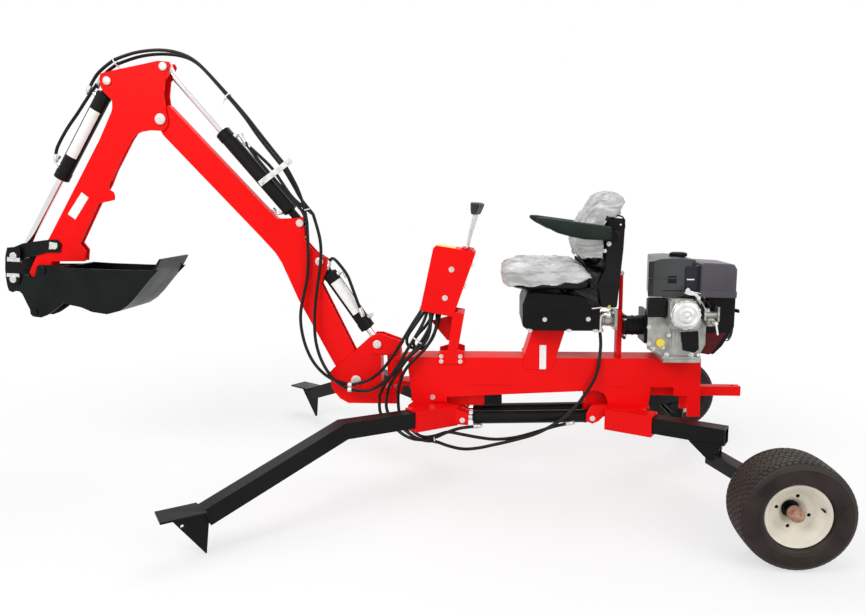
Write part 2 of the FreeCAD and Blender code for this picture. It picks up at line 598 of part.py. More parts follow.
inner_skin = offset(wall_line, -T_WALL)
wrap = plate(wall_line + inner_skin[::-1], -BUCKET_Y, BUCKET_Y)
lip = plate([(-1503, 1050), (-1526, 1012), (-1562, 961), (-1603, 916),
             (-1610, 922), (-1571, 968), (-1537, 1018), (-1512, 1054)],
            -BUCKET_Y, BUCKET_Y)
sides = pair(lambda a, b: plate(bucket_side, a, b), BUCKET_Y - T_WALL, BUCKET_Y)
ear_out = [(-2002, 1019), (-2064, 1019), (-2166, 1020), (-2175, 1006),
           (-2186, 972), (-2197, 958), (-2214, 960), (-2251, 975),
           (-2322, 988), (-2336, 968), (-2332, 919), (-2326, 896),
           (-2308, 888), (-2292, 895), (-2270, 891), (-2258, 877),
           (-2242, 836), (-2228, 804), (-2227, 781), (-2216, 769),
           (-2195, 766), (-2175, 764), (-2143, 775), (-2111, 794),
           (-2084, 812), (-2050, 838), (-2030, 860), (-2080, 897)]
ears = pair(lambda a, b: plate(ear_out, a, b), EAR_IN, EAR_OUT)
bucket = fuse([wrap, lip] + sides + ears)
bucket = cut(bucket, [disc(I, PIN_R + CLEAR, -90, 90), disc(K, PIN_R, -90, 90),
                      disc(CROSS_PIN, PIN_R, -90, 90)])
NODES["bucket"] = bucket
NODES["bucket_pins"] = Part.makeCompound(
    [disc(K, PIN_R, -53, 53), disc(CROSS_PIN, PIN_R, -58, 58)])

# ------------------------------------------------------------- arm cylinders
for name, base, eye, length, ext, neck in (
        ("boom", C, B, 385, 206, 50), ("dipper", D, F, 549, 67, 55),
        ("bucket", G, J, 520, 14, 43)):
    barrel, ram = cylinder_pair(base, eye, length, ext, neck)
    NODES[name + "_barrel"], NODES[name + "_rod"] = barrel, ram

# ------------------------------------------------- seat, controls and engine
STAND_Y = FRAME_Y + 10.0
console = [(-252, 1092), (-240, 1104), (-64, 1075), (-60, 1066), (-163, 775),
           (-312, 805), (-314, 815)]
shell_in = [(-248, 1088), (-238, 1099), (-68, 1071), (-66, 1064), (-162, 781),
            (-260, 700), (-340, 760), (-309, 816)]
stand = plate(console, -STAND_Y, STAND_Y).cut(
    plate(shell_in, -STAND_Y + 4, STAND_Y - 4))
post = [(-236, 555), (-114, 555), (-114, 612), (-146, 622), (-112, 790),
        (-165, 800), (-186, 640), (-190, 618), (-236, 604)]
brace = [(-150, 640), (-128, 775), (-160, 775), (-272, 745), (-196, 652)]
stand = fuse([stand, box(-236, -114, -FRAME_Y - 4, FRAME_Y + 4, BEAM_TOP, 592),
              plate(brace, -4, 4), plate([(-186, 600), (-146, 600),
                                          (-112, 790), (-150, 790)],
                                         -FRAME_Y, FRAME_Y)]
             + pair(lambda a, b: plate(post, a, b), FRAME_Y, FRAME_Y + 8.0))
stand = stand.cut(plate([(-180, 622), (-152, 622), (-122, 770), (-156, 770)],
                        -62, 62).cut(box(-300, 0, -4, 4, 500, 900)))
NODES["control_stand"] = stand
NODES["control_valve"] = plate([(-232, 1010), (-108, 988), (-84, 1068),
                                (-222, 1084)], -STAND_Y + 4, STAND_Y - 4)
lever_feet = [(-45, -104, 1071), (-15, -102, 1071), (15, -100, 1071),
              (45, -98, 1071)]
sticks = []
for i, (y, x, z) in enumerate(lever_feet):
    top = (x + 42 + 4 * i, y, 1262)
    sticks.append(fuse([rod((x, y, z - 1.0), top, 4.5),
                        rod((top[0] - 1, y, top[2] - 14),
                            (top[0] + 8, y, top[2] + 40), 13)]))
NODES["control_levers"] = Part.makeCompound(
    [stick.cut(NODES["control_valve"]) for stick in sticks])
NODES["control_stand"] = NODES["control_stand"].cut(
    box(-118, -76, -56, 56, 1060, 1100))
ped = [(160, BEAM_TOP), (309, BEAM_TOP), (352, 728), (205, 728)]
pedestal = fuse([plate(ped, -FRAME_Y - 4, FRAME_Y + 4).cut(
    plate([(172, BEAM_TOP + 8), (303, BEAM_TOP + 8), (342, 722), (213, 722)],
          -FRAME_Y, FRAME_Y))]
    + pair(lambda a, b: plate([(160, 530), (290, 530), (309, 584), (309, 600),
                               (160, 600)], a, b), FRAME_Y, FRAME_Y + 4))
NODES["seat_pedestal"] = pedestal
NODES["seat_suspension"] = plate(
    [(150, 846), (168, 898), (200, 905), (440, 884), (490, 840), (490, 728),
     (180, 728), (150, 748)], -170, 170)
NODES["seat_cushion"] = plate(
    [(56, 1000), (70, 925), (120, 915), (200, 905.3), (440, 905.3), (470, 935),
     (440, 985), (400, 1030), (245, 1042), (100, 1030)], -225, 225)
NODES["seat_backrest"] = plate(
    [(400, 1040), (470, 990), (500, 1010), (503, 1222), (560, 1222),
     (592, 1300), (570, 1335), (523, 1342), (474, 1322), (410, 1213),
     (370, 1140)], -205, 205)
NODES["seat_shell"] = plate([(470.5, 935), (503.3, 1010), (503.3, 1221.7),
                             (600, 1221.7), (594, 836), (491.2, 836)],
                            -190, 190)
arm_rest = [(202, 1233), (250, 1230), (475, 1195), (510, 1188), (510, 1130),
            (400, 1136), (323, 1161), (232, 1208)]
rest = fuse([plate(arm_rest, -295, -240),
             box(504, 545, -262, -190.3, 1134, 1166)])
NODES["seat_armrests"] = Part.makeCompound([rest, mirror(rest)])
NODES["bell_housing"] = fuse([rod((612, 0, 727), (790, 0, 727), 44),
                              box(612, 624, -62, 62, 672, 782),
                              box(704, 722, -70, 70, 655, 805)])
block = [(704, -125), (960, -125), (960, 155), (765, 155), (748, 100),
         (740, 20), (722, -70)]
low_block = plate([(704, 640), (770, 610), (935, 610), (960, 660), (960, 800),
                   (704, 800)], -120, 120).common(slab(block, 600, 880))
engine = fuse([
    box(772, 935, -150, 110, BEAM_TOP, 610), low_block,
    plate([(785, 770), (800, 868), (905, 868), (915, 770), (880, 748),
           (815, 748)], -200, -110),
    box(764, 930, -120, 150, 790, 879.3)])
NODES["engine"] = engine.cut(NODES["bell_housing"])
NODES["carburettor"] = fuse([box(932, 1004, -170, -120.3, 760, 826),
                             rod((970, -145, 735), (970, -145, 765), 18)])
NODES["fan_shroud"] = plate(
    [(960.3, 640), (1000, 608), (1040, 650), (1088, 737), (1088, 876.7),
     (960.3, 876.7)], -105, 140)
NODES["muffler"] = box(696, 780, -165, -120.3, 790, 872)
tank_plan = [(700, -128), (720, -150), (880, -150), (900, -130), (900, 138),
             (880, 160), (778, 160), (756, 146), (744, 100), (716, -60)]
NODES["fuel_tank"] = plate([(694, 880), (900, 880), (900, 1040), (830, 1048),
                            (746, 1045), (700, 1030)], -150, 160).common(
                                slab(tank_plan, 870, 1060))
NODES["air_cleaner"] = plate([(912, 880), (1062, 877), (1062, 1000),
                              (1050, 1022), (920, 1030), (912, 1020)],
                             -180, 60)
NODES["hydraulic_pump"] = fuse([rod((520, 0, 757), (588, 0, 757), 34),
                                box(575, 588, -45, 45, 712, 800),
                                rod((508, -34, 770), (545, -10, 770), 16),
                                rod((508, -34, 776), (508, -34, 700), 13)])
NODES["pump_post"] = fuse([box(588.3, 611.7, -30, 30, BEAM_TOP, 800),
                           rod((607.5, 0, 800), (607.5, 0, 962), 9)])

os.makedirs("parts", exist_ok=True)
for name in NODES:
    shape = NODES[name]
    shape.translate(V(X_SHIFT, 0, 0))
    if len(shape.Solids) == 1:
        shape = shape.Solids[0]
    shape.exportStep("parts/%s.step" % name)
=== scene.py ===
"""Towable backhoe: the looks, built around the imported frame."""
import json
import math

import bmesh
import bpy
import numpy as np
from bpy.props import FloatProperty, FloatVectorProperty, IntProperty
from mathutils import Matrix, Vector

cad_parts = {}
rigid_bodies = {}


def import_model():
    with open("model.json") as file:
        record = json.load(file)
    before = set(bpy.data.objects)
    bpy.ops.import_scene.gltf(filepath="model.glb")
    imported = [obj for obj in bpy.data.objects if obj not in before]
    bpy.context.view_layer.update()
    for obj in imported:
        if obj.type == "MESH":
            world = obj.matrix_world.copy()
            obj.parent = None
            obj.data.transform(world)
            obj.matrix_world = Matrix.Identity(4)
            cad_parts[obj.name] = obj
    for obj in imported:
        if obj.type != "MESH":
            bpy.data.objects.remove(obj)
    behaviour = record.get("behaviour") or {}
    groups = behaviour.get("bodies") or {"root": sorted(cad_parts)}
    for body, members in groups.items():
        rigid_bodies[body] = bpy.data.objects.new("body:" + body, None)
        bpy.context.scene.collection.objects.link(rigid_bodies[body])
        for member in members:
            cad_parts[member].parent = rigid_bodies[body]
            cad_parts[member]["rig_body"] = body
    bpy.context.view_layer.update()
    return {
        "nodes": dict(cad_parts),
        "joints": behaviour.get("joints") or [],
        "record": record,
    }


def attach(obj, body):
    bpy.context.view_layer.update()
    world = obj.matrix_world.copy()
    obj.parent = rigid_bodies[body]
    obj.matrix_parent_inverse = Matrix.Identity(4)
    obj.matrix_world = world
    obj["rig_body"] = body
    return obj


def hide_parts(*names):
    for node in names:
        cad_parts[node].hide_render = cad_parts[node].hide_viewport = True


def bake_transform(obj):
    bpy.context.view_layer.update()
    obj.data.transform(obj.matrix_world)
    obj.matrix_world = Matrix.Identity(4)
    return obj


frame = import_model()

bl_info = {
    "name": "Towable backhoe",
    "version": (1, 0, 0),
    "blender": (4, 5, 0),
    "location": "View3D > Sidebar > Backhoe",
    "description": "Paint, seat, hoses, tyres and fittings of a towable backhoe",
    "category": "Object",
}

JOINTS = {j["name"]: j for j in frame["joints"]}
SLOT_OF = {part["node"]: part["material_slot"] for part in frame["record"]["subparts"]}
# X = 0 of the workshop drawing lies 448 mm ahead of the king pin
KING_PIN_TO_DATUM = 0.448
DATUM = JOINTS["swing"]["pos_m"][0] + KING_PIN_TO_DATUM
SIDES = (("near", -1), ("far", 1))
# Centres of the arm's pins in the drawing, X and Z
PIN = {"A": (-630, 462), "B": (-525, 638), "C": (-793, 1030), "D": (-879, 1210),
       "E": (-1514, 1693), "F": (-1485, 1927), "G": (-1757, 1870), "H": (-2078, 1111),
       "I": (-2148, 993), "J": (-2278, 1066), "K": (-2290, 953), "cross": (-2203, 791)}


def in_frame(points):
    """Points of the drawing, in millimetres, as points of the frame in metres."""
    return np.asarray(points, float) / 1000.0 + (DATUM, 0, 0)


# ------------------------------------------------------------------ settings
class PaintSettings(bpy.types.PropertyGroup):
    """Colours of the machine."""
    red: FloatVectorProperty(name="Red paint", description="Colour of frame, arm and stand",
                             subtype="COLOR", default=(0.86, 0.004, 0.004))
    black: FloatVectorProperty(name="Black paint", description="Colour of bucket, legs and barrels",
                               subtype="COLOR", default=(0.0045, 0.0050, 0.0045))
    rim: FloatVectorProperty(name="Rim paint", description="Colour of the wheel rims",
                             subtype="COLOR", default=(0.72, 0.67, 0.56))
    film: FloatVectorProperty(name="Seat film", description="Colour of the film over the seat",
                              subtype="COLOR", default=(0.62, 0.63, 0.62))


class ShopSettings(bpy.types.PropertyGroup):
    """Sizes of the fittings."""
    hose_diameter: FloatProperty(name="Hose diameter", description="Outer diameter of the hoses",
                                 unit="LENGTH", default=0.015)
    edge_radius: FloatProperty(name="Plate edge", description="Rounding of the plates' edges",
                               unit="LENGTH", default=0.0022)
    head_scale: FloatProperty(name="Pin heads", description="Size of the pins' heads, as a factor",
                              subtype="FACTOR", default=1.0)
    tread_rows: IntProperty(name="Tread blocks", description="Tread blocks around a tyre",
                            default=56)


def shop():
    """Settings that hold the sizes."""
    return bpy.context.scene.backhoe_shop


# ------------------------------------------------------------------ materials
def wire(tree, made, values=None, links=None):
    """Sets and links the inputs of a node, each given by its name or number."""
    for key, value in (values or {}).items():
        made.inputs[key].default_value = value
    for key, socket in (links or {}).items():
        tree.links.new(socket, made.inputs[key])
    return made


def node(tree, kind, values=None, links=None, **settings):
    """New shader node with its settings, its inputs' values and its links."""
    made = tree.nodes.new("ShaderNode" + kind)
    for key, value in settings.items():
        setattr(made, key, value)
    return wire(tree, made, values, links)


def combined(tree, operation, first, second):
    """Output of a math node that takes two sockets."""
    return node(tree, "Math", None, {0: first, 1: second}, operation=operation).outputs["Value"]


def object_space(tree):
    """Output with the object's own coordinates."""
    return node(tree, "TexCoord").outputs["Object"]


def new_group(name, inputs, outputs):
    """Empty shader group with float sockets: names and defaults in, names out."""
    group = bpy.data.node_groups.new(name, "ShaderNodeTree")
    for label, value in inputs.items():
        socket = group.interface.new_socket(label, in_out="INPUT", socket_type="NodeSocketFloat")
        socket.default_value = value
    for label in outputs:
        group.interface.new_socket(label, in_out="OUTPUT", socket_type="NodeSocketFloat")
    return group, group.nodes.new("NodeGroupInput"), group.nodes.new("NodeGroupOutput")


def mottle_group():
    """Two layers of noise in the object's own space: a broad one for colour and
    a fine one for grain."""
    name = "mottle"
    if name in bpy.data.node_groups:
        return bpy.data.node_groups[name]
    group, given, out = new_group(name, {"Broad": 6.0, "Fine": 300.0}, ["Patch", "Grain"])
    where = object_space(group)
    for label, detail, source in (("Patch", 4.0, "Broad"), ("Grain", 2.0, "Fine")):
        noise = node(group, "TexNoise", {"Detail": detail},
                     {"Vector": where, "Scale": given.outputs[source]})
        spread = node(group, "MapRange", {"From Min": 0.32, "From Max": 0.68},
                      {"Value": noise.outputs["Fac"]})
        wire(group, out, None, {label: spread.outputs["Result"]})
    return group


def dust_group():
    """Mask of the faces that look up, broken by noise: where dust settles."""
    name = "settled_dust"
    if name in bpy.data.node_groups:
        return bpy.data.node_groups[name]
    group, given, out = new_group(name, {"Amount": 0.3, "Scale": 14.0}, ["Mask"])
    normal = node(group, "NewGeometry").outputs["Normal"]
    split = node(group, "SeparateXYZ", None, {"Vector": normal})
    up = node(group, "MapRange", {"From Min": 0.2}, {"Value": split.outputs["Z"]})
    noise = node(group, "TexNoise", {"Detail": 6.0},
                 {"Vector": object_space(group), "Scale": given.outputs["Scale"]})
    mask = combined(group, "MULTIPLY", up.outputs["Result"], noise.outputs["Fac"])
    mask = combined(group, "MULTIPLY", mask, given.outputs["Amount"])
    wire(group, out, None, {"Mask": mask})
    return group


def mixed(tree, factor, first, second):
    """Output of a colour mix between two colours, of which the first may be a socket."""
    values, links = {"B": (*second, 1.0)}, {"Factor": factor}
    if isinstance(first, tuple):
        values["A"] = (*first, 1.0)
    else:
        links["A"] = first
    return node(tree, "Mix", values, links, data_type="RGBA").outputs["Result"]


def finish(name, dark, light, rough, metallic=0.0, specular=0.5, broad=6.0, fine=300.0, bump=0.02,
           dust=0.0, dust_colour=(0.35, 0.33, 0.30), depth=0.0006):
    """Principled finish whose colour wanders between two tones, whose roughness
    follows, and whose grain stands in the normal."""
    made = bpy.data.materials.get(name)
    if made:
        return made
    made = bpy.data.materials.new(name)
    made.use_nodes = True
    tree = made.node_tree
    mottle = node(tree, "Group", {"Broad": broad, "Fine": fine}, node_tree=mottle_group())
    patch = mottle.outputs["Patch"]
    colour = mixed(tree, patch, tuple(dark), light)
    if dust:
        settled = node(tree, "Group", {"Amount": dust}, node_tree=dust_group())
        colour = mixed(tree, settled.outputs["Mask"], colour, dust_colour)
    gloss = node(tree, "MapRange", {"To Min": rough * 0.85, "To Max": min(1.0, rough * 1.15)},
                 {"Value": patch})
    relief = node(tree, "Bump", {"Strength": bump, "Distance": depth},
                  {"Height": mottle.outputs["Grain"]})
    wire(tree, tree.nodes["Principled BSDF"],
         {"Metallic": metallic, "Specular IOR Level": specular},
         {"Base Color": colour, "Roughness": gloss.outputs["Result"],
          "Normal": relief.outputs["Normal"]})
    return made


LOOKS = {
    "red paint": (("red", 0.93, 1.0), 0.40, dict(specular=0.10, broad=5.0, fine=700.0, bump=0.05)),
    "black paint": (("black", 1.0, 1.5), 0.36, dict(
        specular=0.12, broad=7.0, fine=600.0, bump=0.06, dust=0.04,
        dust_colour=(0.10, 0.11, 0.10))),
    "rim paint": (("rim", 0.86, 1.0), 0.42, dict(
        broad=16.0, fine=500.0, bump=0.05, dust=0.15, dust_colour=(0.34, 0.30, 0.25))),
    "milky film": (("film", 0.86, 1.0), 0.24, dict(broad=18.0, fine=90.0, bump=0.25, depth=0.002)),
    "bucket paint": (((0.002, 0.004, 0.0035), (0.005, 0.008, 0.007)), 0.34, dict(
        specular=0.14, broad=9.0, fine=420.0, bump=0.12)),
    "bright zinc": (((0.62, 0.62, 0.60), (0.78, 0.78, 0.75)), 0.34, dict(
        metallic=0.85, broad=40.0, fine=900.0, bump=0.05)),
    "pin steel": (((0.60, 0.50, 0.45), (0.78, 0.70, 0.66)), 0.42, dict(
        metallic=0.35, broad=30.0, fine=700.0, bump=0.08)),
    "ground chrome": (((0.74, 0.73, 0.73), (0.80, 0.79, 0.79)), 0.14, dict(
        metallic=1.0, broad=20.0, fine=900.0, bump=0.01)),
    "cast alloy": (((0.26, 0.26, 0.235), (0.48, 0.48, 0.45)), 0.46, dict(
        metallic=0.75, broad=22.0, fine=500.0, bump=0.25, dust=0.2)),
    "bright alloy": (((0.66, 0.66, 0.65), (0.82, 0.82, 0.80)), 0.36, dict(
        metallic=0.6, broad=26.0, fine=500.0, bump=0.12)),
    "rusty steel": (((0.24, 0.11, 0.075), (0.50, 0.29, 0.21)), 0.70, dict(
        metallic=0.1, specular=0.3, broad=60.0, fine=400.0, bump=0.6, depth=0.001)),
    "black plastic": (((0.003, 0.0025, 0.0025), (0.006, 0.005, 0.005)), 0.40, dict(
        specular=0.12, broad=12.0, fine=900.0, bump=0.08)),
    "satin black": (((0.004, 0.004, 0.004), (0.008, 0.008, 0.008)), 0.45, dict(
        specular=0.14, broad=10.0, fine=500.0, bump=0.3)),
    # Near black for the sheets that paint the shade in the tank's recess and slot
    "deep black": (((0.002, 0.002, 0.003), (0.004, 0.004, 0.005)), 0.5, dict(specular=0.2)),
    "blue black": (((0.006, 0.007, 0.013), (0.010, 0.011, 0.018)), 0.4, dict(specular=0.3)),
    "tank black": (((0.038, 0.040, 0.041), (0.056, 0.058, 0.060)), 0.34, dict(
        specular=0.30, broad=5.0, fine=500.0, bump=0.12)),
    "air cleaner black": (((0.058, 0.052, 0.062), (0.080, 0.072, 0.086)), 0.36, dict(
        specular=0.30, broad=6.0, fine=500.0, bump=0.1)),
    "dark red shroud": (((0.055, 0.004, 0.006), (0.085, 0.006, 0.008)), 0.42, dict(
        specular=0.15, broad=14.0, fine=700.0, bump=0.08)),
    "hose rubber": (((0.004, 0.004, 0.003), (0.010, 0.010, 0.008)), 0.34, dict(
        specular=0.20, broad=14.0, fine=1200.0, bump=0.10)),
    "tyre rubber": (((0.010, 0.006, 0.0055), (0.034, 0.022, 0.019)), 0.50, dict(
        specular=0.20, broad=9.0, fine=700.0, bump=0.2, dust=0.30, dust_colour=(0.16, 0.16, 0.11))),
    "seat vinyl": (((0.003, 0.003, 0.003), (0.007, 0.007, 0.007)), 0.34, dict(
        specular=0.22, broad=10.0, fine=850.0, bump=0.25)),
    "armrest foam": (((0.006, 0.012, 0.009), (0.011, 0.020, 0.015)), 0.5, dict(
        specular=0.16, broad=12.0, fine=900.0, bump=0.2)),
    "knob plastic": (((0.004, 0.010, 0.008), (0.008, 0.016, 0.013)), 0.22, dict(
        broad=20.0, fine=900.0)),
    "lime plastic": (((0.42, 0.55, 0.06), (0.50, 0.62, 0.09)), 0.35, dict(
        broad=30.0, fine=900.0)),
    "tie plastic": (((0.72, 0.71, 0.66), (0.84, 0.83, 0.80)), 0.45, dict(
        broad=30.0, fine=900.0, bump=0.05)),
    "blank label": (((0.80, 0.80, 0.78), (0.88, 0.88, 0.86)), 0.4, dict(broad=30.0, fine=900.0)),
    "yellow label": (((0.80, 0.62, 0.05), (0.86, 0.68, 0.08)), 0.4, dict(broad=30.0, fine=900.0)),
}
# The finish of each material slot
FINISHES = {
    "red_paint": "red paint", "black_paint": "black paint", "steel": "bright zinc",
    "chrome_rod": "ground chrome", "tyre_rubber": "tyre rubber", "rim_paint": "rim paint",
    "hose_rubber": "hose rubber", "vinyl": "seat vinyl", "alloy": "cast alloy",
    "black_plastic": "black plastic",
}


def look(name):
    """Material of the table by its name, made once."""
    tones, rough, others = LOOKS[name]
    if isinstance(tones[0], str):
        colour = getattr(bpy.context.scene.backhoe_paint, tones[0])
        tones = [tuple(c * factor for c in colour) for factor in tones[1:]]
    return finish(name, *tones, rough, **others)


def streaked_cover(made):
    """Lets a film's cover wander in streaks, so that it is clear in places."""
    tree = made.node_tree
    shader = tree.nodes["Principled BSDF"]
    if shader.inputs["Alpha"].is_linked:
        return
    drawn = node(tree, "Mapping", {"Rotation": (0.0, 0.55, 0.0), "Scale": (7.0, 9.0, 30.0)},
                 {"Vector": object_space(tree)})
    streaks = node(tree, "TexNoise", {"Scale": 1.0, "Detail": 5.0, "Distortion": 1.5},
                   {"Vector": drawn.outputs["Vector"]})
    cover = node(tree, "MapRange",
                 {"From Min": 0.38, "From Max": 0.60, "To Min": 0.50, "To Max": 0.97},
                 {"Value": streaks.outputs["Fac"]})
    wire(tree, shader, None, {"Alpha": cover.outputs["Result"]})


# -------------------------------------------------------------------- shaping
def placed(name, data):
    """New object in the scene."""
    made = bpy.data.objects.new(name, data)
    bpy.context.scene.collection.objects.link(made)
    return made


def mesh_of(name, verts, faces):
    """Mesh of points in metres and lists of their numbers."""
    mesh = bpy.data.meshes.new(name)
    mesh.from_pydata([tuple(v) for v in verts], [], [list(map(int, f)) for f in faces])
    return mesh


def make(name, shapes, body, slot, material=None, bevel=0.0, angle=35.0, replaces=()):
    """Piece joined from shapes drawn in millimetres, faces outwards, riding on its
    body, with the finish given, or else the finish of its record slot."""
    verts, faces = joined(shapes)
    piece = placed(name, mesh_of(name, in_frame(verts), faces))
    piece.data.validate()
    piece.data.update()
    piece.data.materials.append(look(material or FINISHES[slot]))
    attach(piece, body)
    if replaces:
        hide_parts(*replaces)
    face_out(piece)
    shade_by_angle(piece, angle)
    if bevel:
        rounded(piece, bevel / 1000.0)
    return piece


def modify(piece, kind, **values):
    """New modifier of a kind, with its values."""
    mod = piece.modifiers.new(kind.title(), kind)
    for key, value in values.items():
        setattr(mod, key, value)


def sheet_faces(rows, columns, wrap_rows=False, wrap_columns=False):
    """Quads of a grid of points, rows by columns, which may close on itself."""
    r = np.arange(rows if wrap_rows else rows - 1)
    c = np.arange(columns if wrap_columns else columns - 1)
    i, j = np.meshgrid(r, c, indexing="ij")
    k, l = (i + 1) % rows, (j + 1) % columns
    quads = np.stack([i * columns + j, k * columns + j, k * columns + l, i * columns + l], -1)
    return quads.reshape(-1, 4)


def joined(parts):
    """Several (verts, faces) shapes as one."""
    verts, faces, count = [], [], 0
    for v, f in parts:
        verts.append(np.asarray(v))
        faces += [[int(i) + count for i in face] for face in f]
        count += len(v)
    return np.concatenate(verts), faces


def axes_of(direction):
    """Three unit vectors, the last along the direction."""
    w = np.asarray(direction, float)
    w = w / np.linalg.norm(w)
    ref = np.array([0.0, 1.0, 0.0]) if abs(w[1]) < 0.9 else np.array([1.0, 0.0, 0.0])
    u = np.cross(ref, w)
    u /= np.linalg.norm(u)
    return u, np.cross(w, u), w


def turned(profile, centre, axis, sides=32, ring=False):
    """Shape of revolution: each (along, radius) point of the profile goes round the
    axis through the centre. Ends with a radius of 0 close the shape; a ring joins
    its last point to its first."""
    u, v, w = axes_of(axis)
    a, r = np.array(profile, float).T
    t = np.linspace(0, 2 * np.pi, sides, endpoint=False)
    spoke = np.cos(t)[:, None] * u + np.sin(t)[:, None] * v
    verts = np.asarray(centre) + a[:, None, None] * w + r[:, None, None] * spoke[None]
    return verts.reshape(-1, 3), sheet_faces(len(a), sides, ring, True)[:, ::-1].tolist()


# A path that comes nearer than this to the Y axis takes its cross vectors from X
STEEP = 0.93


def frames_along(points):
    """Two cross vectors at each point of a path, from its tangent and one fixed axis."""
    tangent = np.gradient(points, axis=0)
    tangent /= np.linalg.norm(tangent, axis=1)[:, None]
    ref = np.tile([0.0, 1.0, 0.0], (len(points), 1))
    if np.abs(tangent[:, 1]).max() > STEEP:
        ref[:] = [1.0, 0.0, 0.0]
    side = np.cross(tangent, ref)
    side /= np.linalg.norm(side, axis=1)[:, None]
    return side, np.cross(side, tangent)


def tube(points, radius, sides=12):
    """Round tube: a circle carried along the path, its radius one value or one per
    point, with flat ends."""
    points = np.asarray(points, float)
    side, up = frames_along(points)
    t = np.linspace(0, 2 * np.pi, sides, endpoint=False)
    radius = np.broadcast_to(np.asarray(radius, float), (len(points),))
    ring = np.cos(t)[None, :, None] * side[:, None] + np.sin(t)[None, :, None] * up[:, None]
    verts = points[:, None] + radius[:, None, None] * ring
    faces = sheet_faces(len(points), sides, wrap_columns=True).tolist()
    last = (len(points) - 1) * sides
    faces += [list(range(sides)), list(range(last, last + sides))[::-1]]
    return verts.reshape(-1, 3), faces


def prism(outline, *levels):
    """Flat plate: an outline of (x, z) points between two levels of Y."""
    n = len(outline)
    x, z = np.array(outline, float).T
    verts = np.concatenate([np.stack([x, np.full(n, level), z], -1) for level in sorted(levels)])
    sides = [[i, (i + 1) % n, n + (i + 1) % n, n + i] for i in range(n)]
    return verts, sides + [list(range(n))[::-1], list(range(n, 2 * n))]


def block_shape(low, high):
    """Box between two corners."""
    (x0, y0, z0), (x1, y1, z1) = low, high
    return prism([(x0, z0), (x1, z0), (x1, z1), (x0, z1)], y0, y1)


WASHER = 1.6


def bolt(centre, axis, size):
    """Hexagon head, size across its flats, on a washer, standing on the centre."""
    r, tall = size / math.sqrt(3), size * 0.62
    top = WASHER + tall
    return joined([
        turned([(WASHER, 0), (WASHER, r), (WASHER + tall * 0.8, r), (top, r * 0.84), (top, 0)],
               centre, axis, 6),
        turned([(0, 0), (0, size * 0.92), (WASHER, size * 0.92), (WASHER, 0)], centre, axis, 20)])


def bead(points, radius):
    """Weld bead: a tube along the path whose radius ripples every five millimetres,
    r = R (1 + 0.14 cos(2 pi s / 5) + 0.05 sin(0.9 s)), and thins out at its ends."""
    points = np.asarray(points, float)
    steps = np.linalg.norm(np.diff(points, axis=0), axis=1)
    along = np.concatenate([[0], np.cumsum(steps)])
    s = np.arange(0, along[-1], 1.6)
    fine = np.stack([np.interp(s, along, points[:, i]) for i in range(3)], -1)
    ripple = radius * (1 + 0.14 * np.cos(2 * np.pi * s / 5.0) + 0.05 * np.sin(s * 0.9))
    ripple *= np.minimum(1, np.minimum(s, s[-1] - s) / 4 + 0.35)
    return tube(fine, ripple, 7)


def smooth_path(points, steps=10):
    """Points of the NURBS line of order 3 that has the given points as its control
    points."""
    data = bpy.data.curves.new("route", "CURVE")
    data.dimensions = "3D"
    spline = data.splines.new("NURBS")
    spline.points.add(len(points) - 1)
    for point, place in zip(spline.points, points):
        point.co = (*(c / 1000.0 for c in place), 1.0)
    spline.order_u = 3
    spline.use_endpoint_u = True
    spline.resolution_u = steps
    route = placed("route", data)
    bpy.context.view_layer.update()
    mesh = bpy.data.meshes.new_from_object(route)
    line = np.empty(len(mesh.vertices) * 3)
    mesh.vertices.foreach_get("co", line)
    bpy.data.objects.remove(route)
    bpy.data.meshes.remove(mesh)
    return line.reshape(-1, 3) * 1000.0


NEAR = np.array([0.0, -1.0, 0.0])
LABEL_STEPS = 20


def wrapped(start, end, radius, thick, low, high):
    """Label round a barrel: the part of a shell between two angles, in degrees,
    counted from the near side up, with rims of its own thickness."""
    up = np.cross(NEAR, axes_of(end - start)[2])
    t = np.radians(np.linspace(low, high, LABEL_STEPS))[:, None]
    around = np.cos(t) * NEAR + np.sin(t) * up
    verts = np.concatenate([place + around * r for place, r in (
        (start, radius), (start, radius + thick), (end, radius + thick), (end, radius))])
    faces = sheet_faces(4, LABEL_STEPS, wrap_rows=True).tolist()
    first = [i * LABEL_STEPS for i in range(4)]
    return verts, faces + [first, [i + LABEL_STEPS - 1 for i in first[::-1]]]


def face_out(piece):
    """Merges doubles and turns every face outwards."""
    work = bmesh.new()
    work.from_mesh(piece.data)
    bmesh.ops.remove_doubles(work, verts=work.verts, dist=1e-6)
    bmesh.ops.recalc_face_normals(work, faces=work.faces)
    work.to_mesh(piece.data)
    work.free()


def rounded(piece, width, segments=2, angle=35.0):
    """Rounds the edges that are sharper than the angle."""
    modify(piece, "BEVEL", width=width, segments=segments, limit_method="ANGLE",
           angle_limit=math.radians(angle), use_clamp_overlap=True, harden_normals=True)


def shade_by_angle(piece, angle=35.0):
    """Smooth faces, with edges sharper than the angle kept crisp."""
    piece.data.shade_smooth()
    piece.data.set_sharp_from_angle(angle=math.radians(angle))


def softened(node, name, material=None, width=None, segments=2):
    """Copy of a CAD node with its doubles merged, its flat faces whole again and its
    edges rounded, which stands for the node."""
    source, slot = frame["nodes"][node], SLOT_OF[node]
    piece = placed(name, source.data.copy())
    work = bmesh.new()
    work.from_mesh(piece.data)
    bmesh.ops.remove_doubles(work, verts=work.verts, dist=2e-5)
    bmesh.ops.dissolve_limit(work, angle_limit=math.radians(0.6), verts=work.verts,
                             edges=work.edges, delimit={"NORMAL"})
    work.to_mesh(piece.data)
    work.free()
    piece.data.materials.clear()
    piece.data.materials.append(look(material or FINISHES[slot]))
    shade_by_angle(piece)
    rounded(piece, width or shop().edge_radius, segments, 32.0)
    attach(piece, source["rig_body"])
    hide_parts(node)


